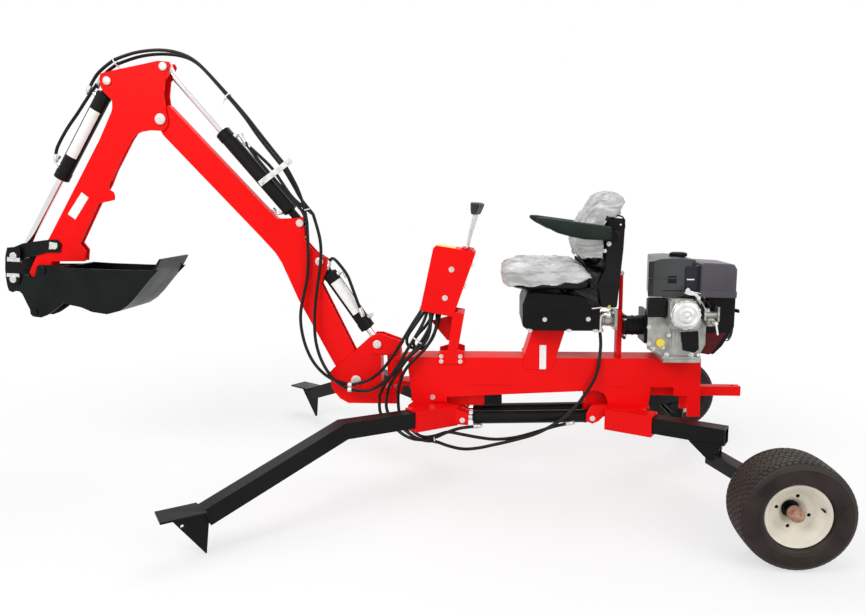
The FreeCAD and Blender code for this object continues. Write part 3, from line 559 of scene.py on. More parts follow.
# --------------------------------------------------------------------- pieces
class BACKHOE_OT_finishes(bpy.types.Operator):
    """Gives every carried-over node the finish of its material slot"""
    bl_idname = "backhoe.finishes"
    bl_label = "Finishes"

    def execute(self, context):
        for name, carried in frame["nodes"].items():
            carried.data.materials.clear()
            carried.data.materials.append(look(FINISHES[SLOT_OF[name]]))
            shade_by_angle(carried)
        return {"FINISHED"}


SOFTENED = (
    ("main_frame", "frame_plates"), ("king_bracket", "king_pin_bracket"),
    ("swing_post", "swing_post_plates"), ("boom", "boom_plates"), ("dipper", "dipper_plates"),
    ("bucket", "bucket_shell"), ("tipping_levers", "tipping_lever_plates"),
    ("bucket_links", "bucket_link_plates"), ("seat_pedestal", "pedestal_plates"),
    ("control_stand", "console_plates"), ("tow_tube", "tow_tube_steel"),
    ("wheel_legs", "wheel_leg_tubes"), ("near_leg", "near_leg_tube"), ("far_leg", "far_leg_tube"),
    ("near_leg_sleeve", "near_sleeve"), ("far_leg_sleeve", "far_sleeve"),
    ("pump_post", "pump_post_steel"),
)


class BACKHOE_OT_plates(bpy.types.Operator):
    """Steel plates and tubes with their edges rounded"""
    bl_idname = "backhoe.plates"
    bl_label = "Plates"

    def execute(self, context):
        for carried, name in SOFTENED:
            softened(carried, name, "bucket paint" if carried == "bucket" else None)
        return {"FINISHED"}


def pin_ends(at, half, r, flat=False):
    """Heads of a pin that crosses the arm: low domes, or flat discs, at +-half."""
    r *= shop().head_scale
    profile = [(-3.0, r * 0.98), (0, r), (2.6, r), (4.4, r * 0.9), (5.2, r * 0.62), (5.4, 0)]
    if flat:
        profile = [(-3.0, r), (3.6, r), (4.6, r * 0.93), (4.6, 0)]
    return joined([turned([(-3.0, 0)] + profile, (at[0], side * half, at[1]), (0, side, 0), 36)
                   for side in (-1, 1)])


# Name, body, slot, finish, whether flat, and each pin with its half length and radius
PIN_HEADS = (
    ("boom_foot_heads", "swing", "steel", "pin steel", False, (("A", 44, 24), ("B", 44, 20))),
    ("boom_pin_heads", "boom", "steel", "pin steel", False, (("C", 30, 19), ("D", 30, 18))),
    ("dipper_pin_heads", "dipper", "steel", "pin steel", False,
     (("E", 40, 25), ("F", 40, 19), ("G", 40, 19))),
    ("dipper_foot_head", "dipper", "black_paint", "black paint", False, (("I", 55, 21),)),
    ("lever_pin_discs", "dipper", "steel", None, True, (("H", 46, 16.5),)),
    ("tipping_pin_discs", "tipping_levers", "steel", None, True, (("J", 64, 17),)),
    ("bucket_pin_discs", "bucket_links", "steel", None, True, (("K", 64, 17),)),
    ("cross_pin_heads", "bucket", "black_paint", "bucket paint", False, (("cross", 55, 17),)),
)
# Pin, body, distance from the middle, and the outline about the pin
RETAINERS = (
    ("H", "tipping_levers", 42.5, ((-30, -16), (13, -13), (16, 13), (-24, 20))),
    ("J", "bucket_links", 61.5, ((-34, -26), (30, -30), (32, -11), (-32, -5))),
    ("K", "bucket_links", 61.5, ((-32, 12), (34, 10), (32, 27), (-30, 30))),
)
RETAINER_THICK = 4


class BACKHOE_OT_pins(bpy.types.Operator):
    """Heads and retainer plates of the arm's pins"""
    bl_idname = "backhoe.pins"
    bl_label = "Pin heads"

    def execute(self, context):
        for name, body, slot, material, flat, pins in PIN_HEADS:
            make(name, [pin_ends(PIN[pin], half, r, flat) for pin, half, r in pins], body, slot,
                 material)
        for tag, side in SIDES:
            for pin, body, y, outline in RETAINERS:
                plate = prism([(PIN[pin][0] + x, PIN[pin][1] + z) for x, z in outline],
                              side * y, side * (y + RETAINER_THICK))
                make("retainer_%s_%s" % (pin.lower(), tag), [plate], body, "steel", bevel=1.2)
        return {"FINISHED"}


# Name, body, base and eye pin, barrel's length, neck before the barrel, rod's body
CYLINDERS = (
    ("boom", "boom", "C", "B", 385, 50, "boom_rod"),
    ("dipper", "dipper_barrel", "D", "F", 549, 55, "dipper_rod"),
    ("bucket", "bucket_barrel", "G", "J", 520, 43, "bucket_rod"),
)
# Distance from the base pin to where a neck of no length would end
BARREL_START = 20.8
# Ends of a leg's cylinder in the drawing, and its distance from the middle
LEG_BASE, LEG_EYE, LEG_Y = (476, 309), (-122, 292), 62


def on_line(p, q, s, y=0.0):
    """Point s millimetres from p towards q, in the arm's plane."""
    p, q = np.array(p, float), np.array(q, float)
    place = p + (q - p) / np.linalg.norm(q - p) * s
    return np.array([place[0], y, place[1]])


def unit(v):
    """The vector with a length of 1."""
    return v / np.linalg.norm(v)


def along(p, q):
    """Unit vector in the arm's plane from p towards q."""
    return on_line(p, q, 1) - on_line(p, q, 0)


def across(p, q):
    """Unit vector in the arm's plane square to the line, on its upper side."""
    d = (np.array(q, float) - np.array(p, float)) / math.dist(p, q)
    n = np.array([-d[1], 0.0, d[0]])
    return n if n[2] > 0 else -n


PORT_RADIUS, PORT_REACH = 9.0, 26.0


def elbow(foot, out, turn):
    """Hose fitting: a port boss, a hexagon, and a bent pipe that leaves along turn."""
    r, reach = PORT_RADIUS, PORT_REACH
    t = np.linspace(0, np.pi / 2, 8)[:, None]
    bend = foot + out * reach * 0.55 + r * 1.3 * (np.sin(t) * out + (1 - np.cos(t)) * turn)
    tip = bend[-1] + turn * reach
    return [turned([(-4, 0), (-4, r * 1.5), (6, r * 1.5), (7, r * 1.3), (7, 0)], foot, out, 24),
            turned([(7, 0), (7, r * 1.25), (14, r * 1.25), (15, 0)], foot, out, 6),
            tube(np.concatenate([[foot + out * 8], bend, [tip - turn * 6]]), r * 0.68, 12),
            turned([(-reach * 0.72, 0), (-reach * 0.72, r * 0.9), (-reach * 0.3, r * 1.12),
                    (0, r * 1.12), (0, 0)], tip, turn, 6)]


# Name, body, base and eye pin of the cylinder, distance along it, side of it, and the
# way the pipe leaves: 1 on along the cylinder, -1 back along it, 0 to the near side
PORTS = (
    ("bucket_port_base", "bucket_barrel", "G", "J", 88, 1, -1),
    ("bucket_port_rod", "bucket_barrel", "G", "J", 470, 1, -1),
    ("dipper_port_rod", "dipper_barrel", "D", "F", 500, 1, -1),
    ("dipper_port_base", "dipper_barrel", "D", "F", 100, -1, 1),
    ("boom_port_base", "boom", "C", "B", 96, 1, 1),
    ("boom_port_rod", "boom", "C", "B", 345, 1, 0),
)
# Name, body, base and eye pin, start and end along the cylinder, and two angles
BARREL_LABELS = (
    ("boom_cylinder_label", "boom", "C", "B", 118, 300, -28, 74),
    ("bucket_cylinder_label", "bucket_barrel", "G", "J", 150, 400, -30, 60),
)


class BACKHOE_OT_cylinders(bpy.types.Operator):
    """End rings, glands, ports, elbows and labels of the hydraulic cylinders"""
    bl_idname = "backhoe.cylinders"
    bl_label = "Cylinders"

    def execute(self, context):
        for name, body, base, eye, length, neck, rod_body in CYLINDERS:
            p, q = PIN[base], PIN[eye]
            way, start = along(p, q), BARREL_START + neck
            cap = turned([(0, 20), (0, 33), (3, 35.5), (20, 35.5), (22, 34), (22, 30)],
                         on_line(p, q, start - 1), way, 48)
            weld = turned([(-7, 19), (-4, 24), (-0.5, 30), (0.5, 30), (0.5, 19)],
                          on_line(p, q, start), way, 40)
            gland = turned([(-34, 34), (-34, 36.5), (-12, 36.5), (-10, 35), (-9, 35), (-7, 36.5),
                            (2, 36.5), (4, 34), (4, 21), (7, 21), (8, 19.5), (8, 16.5)],
                           on_line(p, q, length), way, 48)
            make(name + "_cylinder_ends", [cap, weld, gland], body, "black_paint")
            eye_ring = turned([(-36, 16.2), (-34, 19), (-26, 21), (-22, 21), (-22, 16.2)],
                              on_line(p, q, math.dist(p, q)), way, 32)
            make(name + "_rod_neck", [eye_ring], rod_body, "chrome_rod")
        way = along(LEG_BASE, LEG_EYE)
        for tag, side in SIDES:
            cap = turned([(0, 24), (0, 29.5), (3, 31.5), (16, 31.5), (18, 30), (18, 26)],
                         on_line(LEG_BASE, LEG_EYE, 20, side * LEG_Y), way, 40)
            gland = turned([(-30, 30), (-30, 32.5), (-8, 32.5), (-6, 31), (-4, 32.5), (2, 32.5),
                            (4, 30), (4, 18), (7, 17.5), (7, 15.4)],
                           on_line(LEG_BASE, LEG_EYE, 545, side * LEG_Y), way, 40)
            make(tag + "_leg_cylinder_ends", [cap, gland], tag + "_leg_barrel", "black_paint")
        for name, body, base, eye, s, side, leaves in PORTS:
            p, q = PIN[base], PIN[eye]
            out = unit(across(p, q) * side)
            turn = unit(along(p, q) * leaves) if leaves else NEAR
            make(name, elbow(on_line(p, q, s) + across(p, q) * side * 33, out, turn), body, "steel")
        for name, body, base, eye, s0, s1, low, high in BARREL_LABELS:
            p, q = PIN[base], PIN[eye]
            make(name, [wrapped(on_line(p, q, s0), on_line(p, q, s1), 34.0, 0.6, low, high)],
                 body, "black_paint", "blank label")
        return {"FINISHED"}


# --------------------------------------------------------------------- wheels
# Half of the tyre's section from its bead to its crown: distance from the middle, radius
TYRE_SIDE = ((62, 107), (68, 116), (74, 118.5), (84, 121), (91, 130), (95, 146), (96, 168),
             (91, 184), (84, 193), (76, 198), (55, 201.5), (25, 202.6))
TYRE_CROWN = (0, 203)
TYRE_HALF, TREAD_HALF, TREAD_PITCH, TREAD_DEPTH = 96.0, 80.0, 16.0, 4.6
POINTS_PER_BLOCK = 8
GROOVE = 0.07


def tyre_shape(centre, outward, blocks):
    """Turf tyre: the section (a, r) goes round the axle and its crown sinks by
    depth (1 - m), where m is 1 on a block and 0 in a groove. Blocks stand in rows
    16 mm wide, every other row half a block further round, and bend by a tenth of a
    block. Two rings stand on the side walls as humps h exp(-((r - r0) / w)^2)."""
    section = [(-a, r, 0) for a, r in TYRE_SIDE] + [(*TYRE_CROWN, 0)]
    section += [(a, r, 0) for a, r in TYRE_SIDE[::-1]]
    a, r = smooth_path(section, 7)[:, :2].T
    columns = blocks * POINTS_PER_BLOCK
    turn = np.linspace(0, 1, columns, endpoint=False)
    row = np.floor((a + TREAD_HALF) / TREAD_PITCH)
    in_row = (a + TREAD_HALF) / TREAD_PITCH - row
    around = (turn[None] * blocks + 0.5 * (row[:, None] % 2)
              + 0.10 * np.sin(np.pi * in_row)[:, None] * np.where(a > 0, 1, -1)[:, None]) % 1.0

    def raised(x):
        return np.clip((np.minimum(x, 1 - x) - GROOVE) / 0.07, 0, 1)
    block = np.minimum(raised(in_row)[:, None], raised(around))
    on_tread = np.clip((TREAD_HALF + 6 - np.abs(a)) / 5, 0, 1) * (r > 190)
    sunk = TREAD_DEPTH * on_tread[:, None] * (1 - block)
    hump = 1.8 * np.exp(-((r - 178) / 3.0) ** 2) + 1.4 * np.exp(-((r - 140) / 2.5) ** 2)
    a_out = a + np.sign(a) * hump * (np.abs(a) > 70)
    radius = r[:, None] - sunk
    u, v, w = axes_of(outward)
    t = turn * 2 * np.pi
    spoke = np.cos(t)[:, None] * u + np.sin(t)[:, None] * v
    a_out = np.clip(a_out, -TYRE_HALF, TYRE_HALF)
    verts = centre + a_out[:, None, None] * w + radius[..., None] * spoke[None]
    return verts.reshape(-1, 3), sheet_faces(len(a), columns, True, True).tolist()


RIM_RING = ((75, 112), (76, 115), (73, 117), (70, 114.5), (69, 104), (38, 101.5), (28, 92),
            (-28, 92), (-38, 101.5), (-69, 104), (-70, 114.5), (-73, 117), (-76, 115), (-75, 112),
            (-66, 100.5), (-36, 98), (-26, 88.5), (18, 80), (21, 74), (21, 53), (1, 36), (-40, 36),
            (-40, 32), (4, 32), (10, 36), (24, 49), (25.5, 52), (25.5, 70), (27, 73), (64, 99),
            (71, 107.5))
LUG_CIRCLE, LUG_RADIUS, LUG_TURN = 58, 7.0, 76


def bored(piece, holes, radius, axis):
    """Cuts round holes, centres in millimetres, through a piece along an axis."""
    verts, faces = joined([turned([(-30, 0), (-30, radius), (30, radius), (30, 0)], h, axis, 20)
                           for h in holes])
    mesh = mesh_of("drill", in_frame(verts), faces)
    drill = placed("drill", mesh)
    face_out(drill)
    modify(piece, "BOOLEAN", operation="DIFFERENCE", object=drill, solver="EXACT")
    settle(piece)
    bpy.data.objects.remove(drill)
    bpy.data.meshes.remove(mesh)


def settle(piece):
    """Applies the modifiers of a piece to its mesh."""
    bpy.context.view_layer.update()
    graph = bpy.context.evaluated_depsgraph_get()
    made = bpy.data.meshes.new_from_object(piece.evaluated_get(graph), depsgraph=graph)
    piece.modifiers.clear()
    old = piece.data
    piece.data = made
    bpy.data.meshes.remove(old)


class BACKHOE_OT_wheels(bpy.types.Operator):
    """Turf tyres, dished rims with lug holes, hubs and rusty caps"""
    bl_idname = "backhoe.wheels"
    bl_label = "Wheels"

    def execute(self, context):
        for tag, side in SIDES:
            axle = np.array(JOINTS[tag + "_wheel_roll"]["pos_m"])
            centre = (axle - (DATUM, 0, 0)) * 1000.0
            out = (0, side, 0)
            body = tag + "_wheel"
            make(tag + "_turf_tyre", [tyre_shape(centre, out, shop().tread_rows)], body,
                 "tyre_rubber", angle=50, replaces=(tag + "_tyre",))
            rim = make(tag + "_dished_rim", [turned(RIM_RING, centre, out, 96, ring=True)], body,
                       "rim_paint", replaces=(tag + "_rim",))
            turn = np.radians(np.arange(0, 360, 90) + LUG_TURN)
            lugs = centre + LUG_CIRCLE * np.stack([np.cos(turn), 0 * turn, np.sin(turn)], -1)
            bored(rim, lugs + (0, side * 23, 0), LUG_RADIUS, out)
            cap = turned([(34, 0), (34, 22), (38, 26.5), (64, 26), (73, 22.5), (79, 13), (80, 0)],
                         centre, out, 40)
            make(tag + "_hub_cap", [cap], body, "steel", "rusty steel")
            hub = turned([(-60, 0), (-60, 24), (-8, 24), (-8, 88), (-3, 88), (-3, 16), (36, 16),
                          (36, 0)], centre, out, 40)
            make(tag + "_hub", [hub], body, "black_paint", "satin black")
            foot = centre + np.array([0.0, side * 40.0, 0.0]) + 90 * np.array([0.975, 0, 0.22])
            stem = turned([(-6, 0), (-6, 6), (4, 5), (6, 3.6), (26, 3.4), (26, 4.2), (32, 4.2),
                           (33, 0)], foot, out, 14)
            make(tag + "_valve_stem", [stem], body, "black_plastic")
        return {"FINISHED"}


# ----------------------------------------------------------------------- seat
def rounded_loop(outline, count, soft):
    """Closed outline as evenly spaced points, its corners rounded by a Gaussian of
    soft points: every harmonic k is scaled by exp(-(2 pi k soft / count)^2 / 2)."""
    ring = np.array(list(outline) + [outline[0]], float)
    steps = np.linalg.norm(np.diff(ring, axis=0), axis=1)
    along = np.concatenate([[0], np.cumsum(steps)])
    s = np.linspace(0, along[-1], count, endpoint=False)
    z = np.interp(s, along, ring[:, 0]) + 1j * np.interp(s, along, ring[:, 1])
    k = np.fft.fftfreq(count) * count
    return np.fft.ifft(np.fft.fft(z) * np.exp(-(2 * np.pi * k * soft / count) ** 2 / 2))


def pad_points(outline, half, count, slices, soft, power=12.0, root=0.24, grow=0.0):
    """Pad: the rounded outline in X and Z, carried across Y from -half to half and
    drawn in towards its middle by (1 - |v|^power)^root."""
    loop = rounded_loop(outline, count, soft)
    middle = loop.mean()
    t = np.linspace(-1, 1, slices)
    v = np.sin(t * np.pi / 2) * 0.9999999
    scale = (1 - np.abs(v) ** power) ** root
    around = middle + (loop - middle)[None] * scale[:, None]
    span = np.abs(around - middle)
    around = around + grow * (around - middle) / np.maximum(span, 1.0)
    y = np.repeat((v * (half + grow))[:, None], count, 1)
    return np.stack([around.real, y, around.imag], -1)


# Wave vector in radians per millimetre, height and phase of each set of folds
CREASES = ((0.030, 0.012, 0.044, 1.9, 1.3), (0.085, 0.025, 0.100, 0.45, 0.4),
           (-0.022, 0.016, 0.060, 1.0, 2.1), (0.150, -0.040, 0.110, 0.18, 1.1),
           (0.030, 0.080, 0.050, 0.4, 5.2))


def creased(points, height):
    """Sharp folds on a surface: sum of a (1 - |sin(k.p / 2 + w)|)^4 over a few wave
    vectors k with a phase f, where w wanders as f + 1.6 sin(0.45 k'.p + f) and k' is
    k with its parts in another order."""
    total = np.zeros(points.shape[:-1])
    for kx, ky, kz, amount, phase in CREASES:
        wander = 1.6 * np.sin(points @ np.array([ky, kz, kx]) * 0.45 + phase)
        ridge = 1 - np.abs(np.sin(points @ np.array([kx, ky, kz]) / 2 + phase + wander))
        total += amount * ridge ** 4
    return height * total


def outward(points):
    """Unit normals of a closed ring grid, rows across, columns around."""
    along = np.gradient(points, axis=0)
    around = np.roll(points, -1, 1) - np.roll(points, 1, 1)
    n = np.cross(along, around)
    n /= np.maximum(np.linalg.norm(n, axis=-1, keepdims=True), 1e-9)
    return n * np.sign(((points - points.mean((0, 1))) * n).sum())


def pad_shape(points):
    """Closed grid with both ends drawn together."""
    rows, columns = points.shape[:2]
    faces = sheet_faces(rows, columns, wrap_columns=True).tolist()
    faces += [list(range(columns)), list(range((rows - 1) * columns, rows * columns))]
    return points.reshape(-1, 3), faces


SWELL_CAP, VOXEL, CLOTH_FRAMES = 0.004, 0.006, 20


def stuffed(piece):
    """Cloth under pressure swells the pad by at most the cap."""
    modify(piece, "REMESH", mode="VOXEL", voxel_size=VOXEL)
    settle(piece)
    count = len(piece.data.vertices)
    rest = np.empty(count * 3)
    piece.data.vertices.foreach_get("co", rest)
    cloth = piece.modifiers.new("Cloth", "CLOTH")
    cloth.settings.use_pressure = True
    cloth.settings.uniform_pressure_force = 4.0
    cloth.settings.effector_weights.gravity = 0.0
    cloth.settings.tension_stiffness = 12.0
    cloth.settings.bending_stiffness = 2.0
    for number in range(1, CLOTH_FRAMES + 1):
        bpy.context.scene.frame_set(number)
    graph = bpy.context.evaluated_depsgraph_get()
    swollen = np.empty(count * 3)
    piece.evaluated_get(graph).data.vertices.foreach_get("co", swollen)
    bpy.context.scene.frame_set(1)
    piece.modifiers.clear()
    move = (swollen - rest).reshape(-1, 3)
    size = np.linalg.norm(move, axis=1)
    move *= np.minimum(1.0, SWELL_CAP / np.maximum(size, 1e-9))[:, None]
    piece.data.vertices.foreach_set("co", (rest.reshape(-1, 3) + move).ravel())
    piece.data.update()
    piece.data.shade_smooth()
    modify(piece, "SUBSURF", levels=1, render_levels=1)


# Outlines of the pads in X and Z
CUSHION = ((62, 1000), (74, 930), (120, 918), (200, 911), (440, 911), (462, 935), (436, 985),
           (398, 1024), (245, 1034), (100, 1024))
BACKREST = ((404, 1046), (468, 1000), (494, 1016), (498, 1216), (556, 1228), (584, 1300),
            (566, 1328), (523, 1335), (478, 1315), (416, 1210), (378, 1140))
BOOT = ((402, 1046), (436, 1000), (468, 940), (462, 908), (330, 900), (400, 880), (440, 826),
        (500, 820), (504, 935), (504, 1006), (470, 1000))


# Points round a pad's outline, and those of the film over it
PAD_COUNT, FILM_COUNT, FILM_SLICES = 72, 170, 140
PAD_SOFT, FILM_LIFT, FOLD_HEIGHT = 1.6, 4.0, 4.0
COLUMN_TOP = 1226


def base_seam(p):
    """Height over the wavy line where the film ends on the base cushion."""
    edge = np.interp(p[:, 0], [60, 150, 260, 380, 470], [928, 931, 934, 945, 968])
    return p[:, 2] - edge - 4 * np.sin(p[:, 0] * 0.06) - 3 * np.sin(p[:, 1] * 0.05)


def back_seam(p):
    """Above zero over the backrest's foot and, as high as the column behind it
    reaches, ahead of the wavy line where the film ends."""
    low = p[:, 2] - 1050 - 5 * np.sin(p[:, 1] * 0.05)
    rear = 496 + 6 * np.sin(p[:, 2] * 0.11) - p[:, 0] + 401 * (p[:, 2] > COLUMN_TOP)
    return np.minimum(low, rear)


def film_over(name, outline, half, keep, **form):
    """Film drawn over a pad: the pad's own form, grown a little, folded, and cut
    away where keep(points) is not above zero."""
    points = pad_points(outline, half, FILM_COUNT, FILM_SLICES,
                        PAD_SOFT * FILM_COUNT / PAD_COUNT, grow=FILM_LIFT, **form)
    points = points + outward(points) * creased(points, FOLD_HEIGHT)[..., None]
    faces = sheet_faces(FILM_SLICES, FILM_COUNT, wrap_columns=True)
    flat = points.reshape(-1, 3)
    faces = faces[(keep(flat)[faces] > 0).all(1)].tolist()
    last = (FILM_SLICES - 1) * FILM_COUNT
    faces += [list(range(FILM_COUNT)), list(range(last, last + FILM_COUNT))]
    used = np.unique(np.concatenate(faces))
    index = np.full(len(flat), -1)
    index[used] = np.arange(len(used))
    shape = (flat[used], [index[face].tolist() for face in faces])
    piece = make(name, [shape], "chassis", "vinyl", "milky film", angle=24)
    streaked_cover(piece.data.materials[0])
    modify(piece, "SOLIDIFY", thickness=0.0004, offset=0.0)
    return piece


def arm_rest(side):
    """Armrest: its height and width run from the tip back, z from low(x) to
    high(x), y about the middle by w(x), with a superellipse section of power 2.6."""
    x = np.concatenate([np.linspace(201, 235, 12), np.linspace(245, 508, 30)])
    high = np.interp(x, [201, 205, 235, 475, 508], [1224, 1233, 1232, 1197, 1190])
    low = np.interp(x, [201, 205, 226, 286, 346, 400, 508],
                    [1222, 1215, 1199, 1166, 1149, 1138, 1132])
    wide = np.interp(x, [201, 208, 240, 508], [4, 16, 25, 27])
    t = np.linspace(0, 2 * np.pi, 40, endpoint=False)
    cy, cz = (np.sign(c) * np.abs(c) ** (2 / 2.6) for c in (np.cos(t), np.sin(t)))
    y = side * 267.5 + wide[:, None] * cy[None]
    z = (high + low)[:, None] / 2 + (high - low)[:, None] / 2 * cz[None]
    points = np.stack([np.repeat(x[:, None], 40, 1), y, z], -1)
    return pad_shape(points)


class BACKHOE_OT_seat(bpy.types.Operator):
    """Cushions stuffed as cloth, packing film over them, armrests, back and boot"""
    bl_idname = "backhoe.seat"
    bl_label = "Seat"

    def execute(self, context):
        back_form = {"power": 7.0, "root": 0.3}
        base = pad_points(CUSHION, 217, PAD_COUNT, 50, PAD_SOFT, grow=-4)
        base = make("seat_base_cushion", [pad_shape(base)], "chassis", "vinyl",
                    replaces=("seat_cushion",))
        stuffed(base)
        back = pad_points(BACKREST, 197, PAD_COUNT, 50, PAD_SOFT, grow=-4, **back_form)
        back = make("seat_back_cushion", [pad_shape(back)], "chassis", "vinyl",
                    replaces=("seat_backrest",))
        stuffed(back)
        boot = pad_points(BOOT, 182, 120, 60, 2.0)
        boot = boot + outward(boot) * (creased(boot, 4.5) - 4.0)[..., None]
        make("seat_boot", [pad_shape(boot)], "chassis", "vinyl", angle=25)
        film = film_over("cushion_film", CUSHION, 221, base_seam)
        film = film_over("backrest_film", BACKREST, 201, back_seam, **back_form)
        for tag, side in SIDES:
            rest = make(tag + "_armrest_pad", [arm_rest(side)], "chassis", "vinyl",
                        "armrest foam", angle=60)
            if side < 0:
                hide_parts("seat_armrests")
            arm = prism([(500, 1136), (548, 1130), (552, 1172), (500, 1172)],
                        side * 190, side * 248)
            hub = turned([(0, 0), (0, 24), (9, 24), (12, 20), (12, 0)], (524, side * 248, 1152),
                         (0, side, 0), 28)
            make(tag + "_armrest_hinge", [arm, hub], "chassis", "black_plastic", bevel=3)
        column = [(470.5, 935), (503.3, 1010), (503.3, 1221.7), (584, 1221.7), (579, 1090),
                  (558, 836), (491.2, 836)]
        make("seat_back_column", [prism(column, -190, 190)], "chassis", "black_plastic",
             "satin black", bevel=7, replaces=("seat_shell",))
        softened("seat_suspension", "seat_suspension_box", "black plastic", 0.010, 4)
        self.fittings()
        return {"FINISHED"}

    def fittings(self):
        bolts, marks = [], []
        for side in (-1, 1):
            out = (0, side, 0)
            for x, z in ((248, 780), (438, 782)):
                bolts.append(bolt((x, side * 169, z), out, 11))
            for x in (183, 355, 470):
                bolts.append(bolt((x, side * 168, 733), out, 12))
            bolts += [bolt((516, side * 189, 1114), out, 11), bolt((499, side * 189, 1084), out, 9),
                      bolt((562, side * 189, 1196), out, 9)]
            rail = [(508, 1236), (560, 1236), (578, 1222), (580, 1180)]
            marks += [tube(smooth_path([(x, side * 190, z) for x, z in rail]), 3.5, 10),
                      prism([(276, 814), (478, 815), (478, 818), (276, 817)],
                            side * 169, side * 171.2),
                      prism([(153, 792), (190, 792), (190, 795), (153, 795)],
                            side * 168, side * 171),
                      prism([(510, 1212), (572, 1212), (574, 1180), (560, 1150), (545, 1150),
                             (540, 1176), (512, 1184)], side * 189, side * 194)]
        make("seat_bolts", bolts, "chassis", "steel")
        make("seat_back_brackets", marks, "chassis", "black_plastic", bevel=1.2)
        rod = [(452, -172, 830), (470, -176, 832), (500, -178, 838), (520, -178, 842)]
        make("weight_lever", [tube(smooth_path(rod), 3.2, 10)], "chassis", "steel")
        make("weight_knob", [turned([(-12, 0), (-12, 8), (-6, 12), (4, 13), (10, 9), (12, 0)],
                                    (524, -178, 843), (1, 0, 0.2), 24)],
             "chassis", "black_plastic", "lime plastic")
        cap = turned([(-7, 0), (-7, 11), (0, 13), (8, 11), (12, 6), (13, 0)], (607.5, 0, 968),
                     (0, 0, 1), 24)
        make("filler_cap", [cap], "chassis", "steel", "tie plastic")


# ------------------------------------------------------------------- controls
CONSOLE_SLOPE = -29.0 / 176.0


class BACKHOE_OT_controls(bpy.types.Operator):
    """Levers and knobs, the valve under the console, its bolts and blank labels"""
    bl_idname = "backhoe.controls"
    bl_label = "Controls"

    def execute(self, context):
        rods, knobs, boots = [], [], []
        for i, y in enumerate((-45, -15, 15, 45)):
            x, lean = -103 + 2 * i, 4 * i
            line = smooth_path([(x, y, 1062), (x + 4, y, 1105), (x + 14 + lean / 2, y, 1160),
                                (x + 28 + lean, y, 1215), (x + 36 + lean, y, 1256)])
            rods.append(tube(line, 3.6, 12))
            knobs.append(turned([(-14, 0), (-14, 9), (-10, 13), (6, 17.5), (30, 22.5), (36, 21.5),
                                 (40, 17), (42, 0)], line[-1], line[-1] - line[-3], 28))
            boots.append(turned([(-2, 0), (-2, 13), (4, 12), (7, 9), (12, 8.4), (15, 6), (20, 5),
                                 (21, 3)], line[0] + (0, 0, 8), (0.1, 0, 1), 20))
        make("lever_rods", rods, "chassis", "steel", replaces=("control_levers",))
        make("lever_knobs", knobs, "chassis", "black_plastic", "knob plastic", angle=30)
        make("lever_boots", boots, "chassis", "black_plastic")
        top = [(x, 1104.3 + (x + 240) * CONSOLE_SLOPE) for x in (-237, -152)]
        label = top + [(x, z + 1.0) for x, z in top[::-1]]
        make("console_label", [prism(label, -70, 70)], "chassis", "red_paint", "yellow label")
        rim = [prism([(-118, 1086.5), (-70, 1078.5), (-68, 1084), (-116, 1092)], y, y + 8)
               for y in (-64, 56)]
        rim.append(prism([(-124, 1087.5), (-116, 1086), (-115, 1092), (-123, 1093.5)], -64, 64))
        make("lever_gate", rim, "chassis", "red_paint", bevel=1)
        bolts = []
        for side in (-1, 1):
            out = (0, side, 0)
            bolts += [bolt((x, side * 79.5, z), out, 14) for x, z in ((-169, 995), (-200, 864))]
            bolts += [bolt((x, side * 77.5, z), out, 11)
                      for x in (-220, -131) for z in (590, 566)]
        bolts += [bolt((x, y, z), (1, 0, -0.34), 10)
                  for x, z in ((-78.5, 1010), (-113, 912)) for y in (-50, 50)]
        make("console_bolts", bolts, "chassis", "steel")
        spigots = []
        for i, y in enumerate((-52, -31, -10, 11, 32, 53)):
            foot = np.array([-232 + 6 * (i % 2), y, 1012.0])
            spigots.append(turned([(-4, 0), (-4, 9), (12, 9), (14, 7.5), (30, 7.5), (32, 9.5),
                                   (44, 9.5), (44, 0)], foot, (-0.42, 0, -1), 6))
        make("valve_spigots", spigots, "chassis", "steel")
        bodies = [block_shape((-226 + 34 * k, -71, 1006 - 5 * k),
                              (-204 + 34 * k, 71, 1066 - 4 * k)) for k in range(3)]
        make("valve_sections", bodies, "chassis", "alloy", bevel=2)
        return {"FINISHED"}


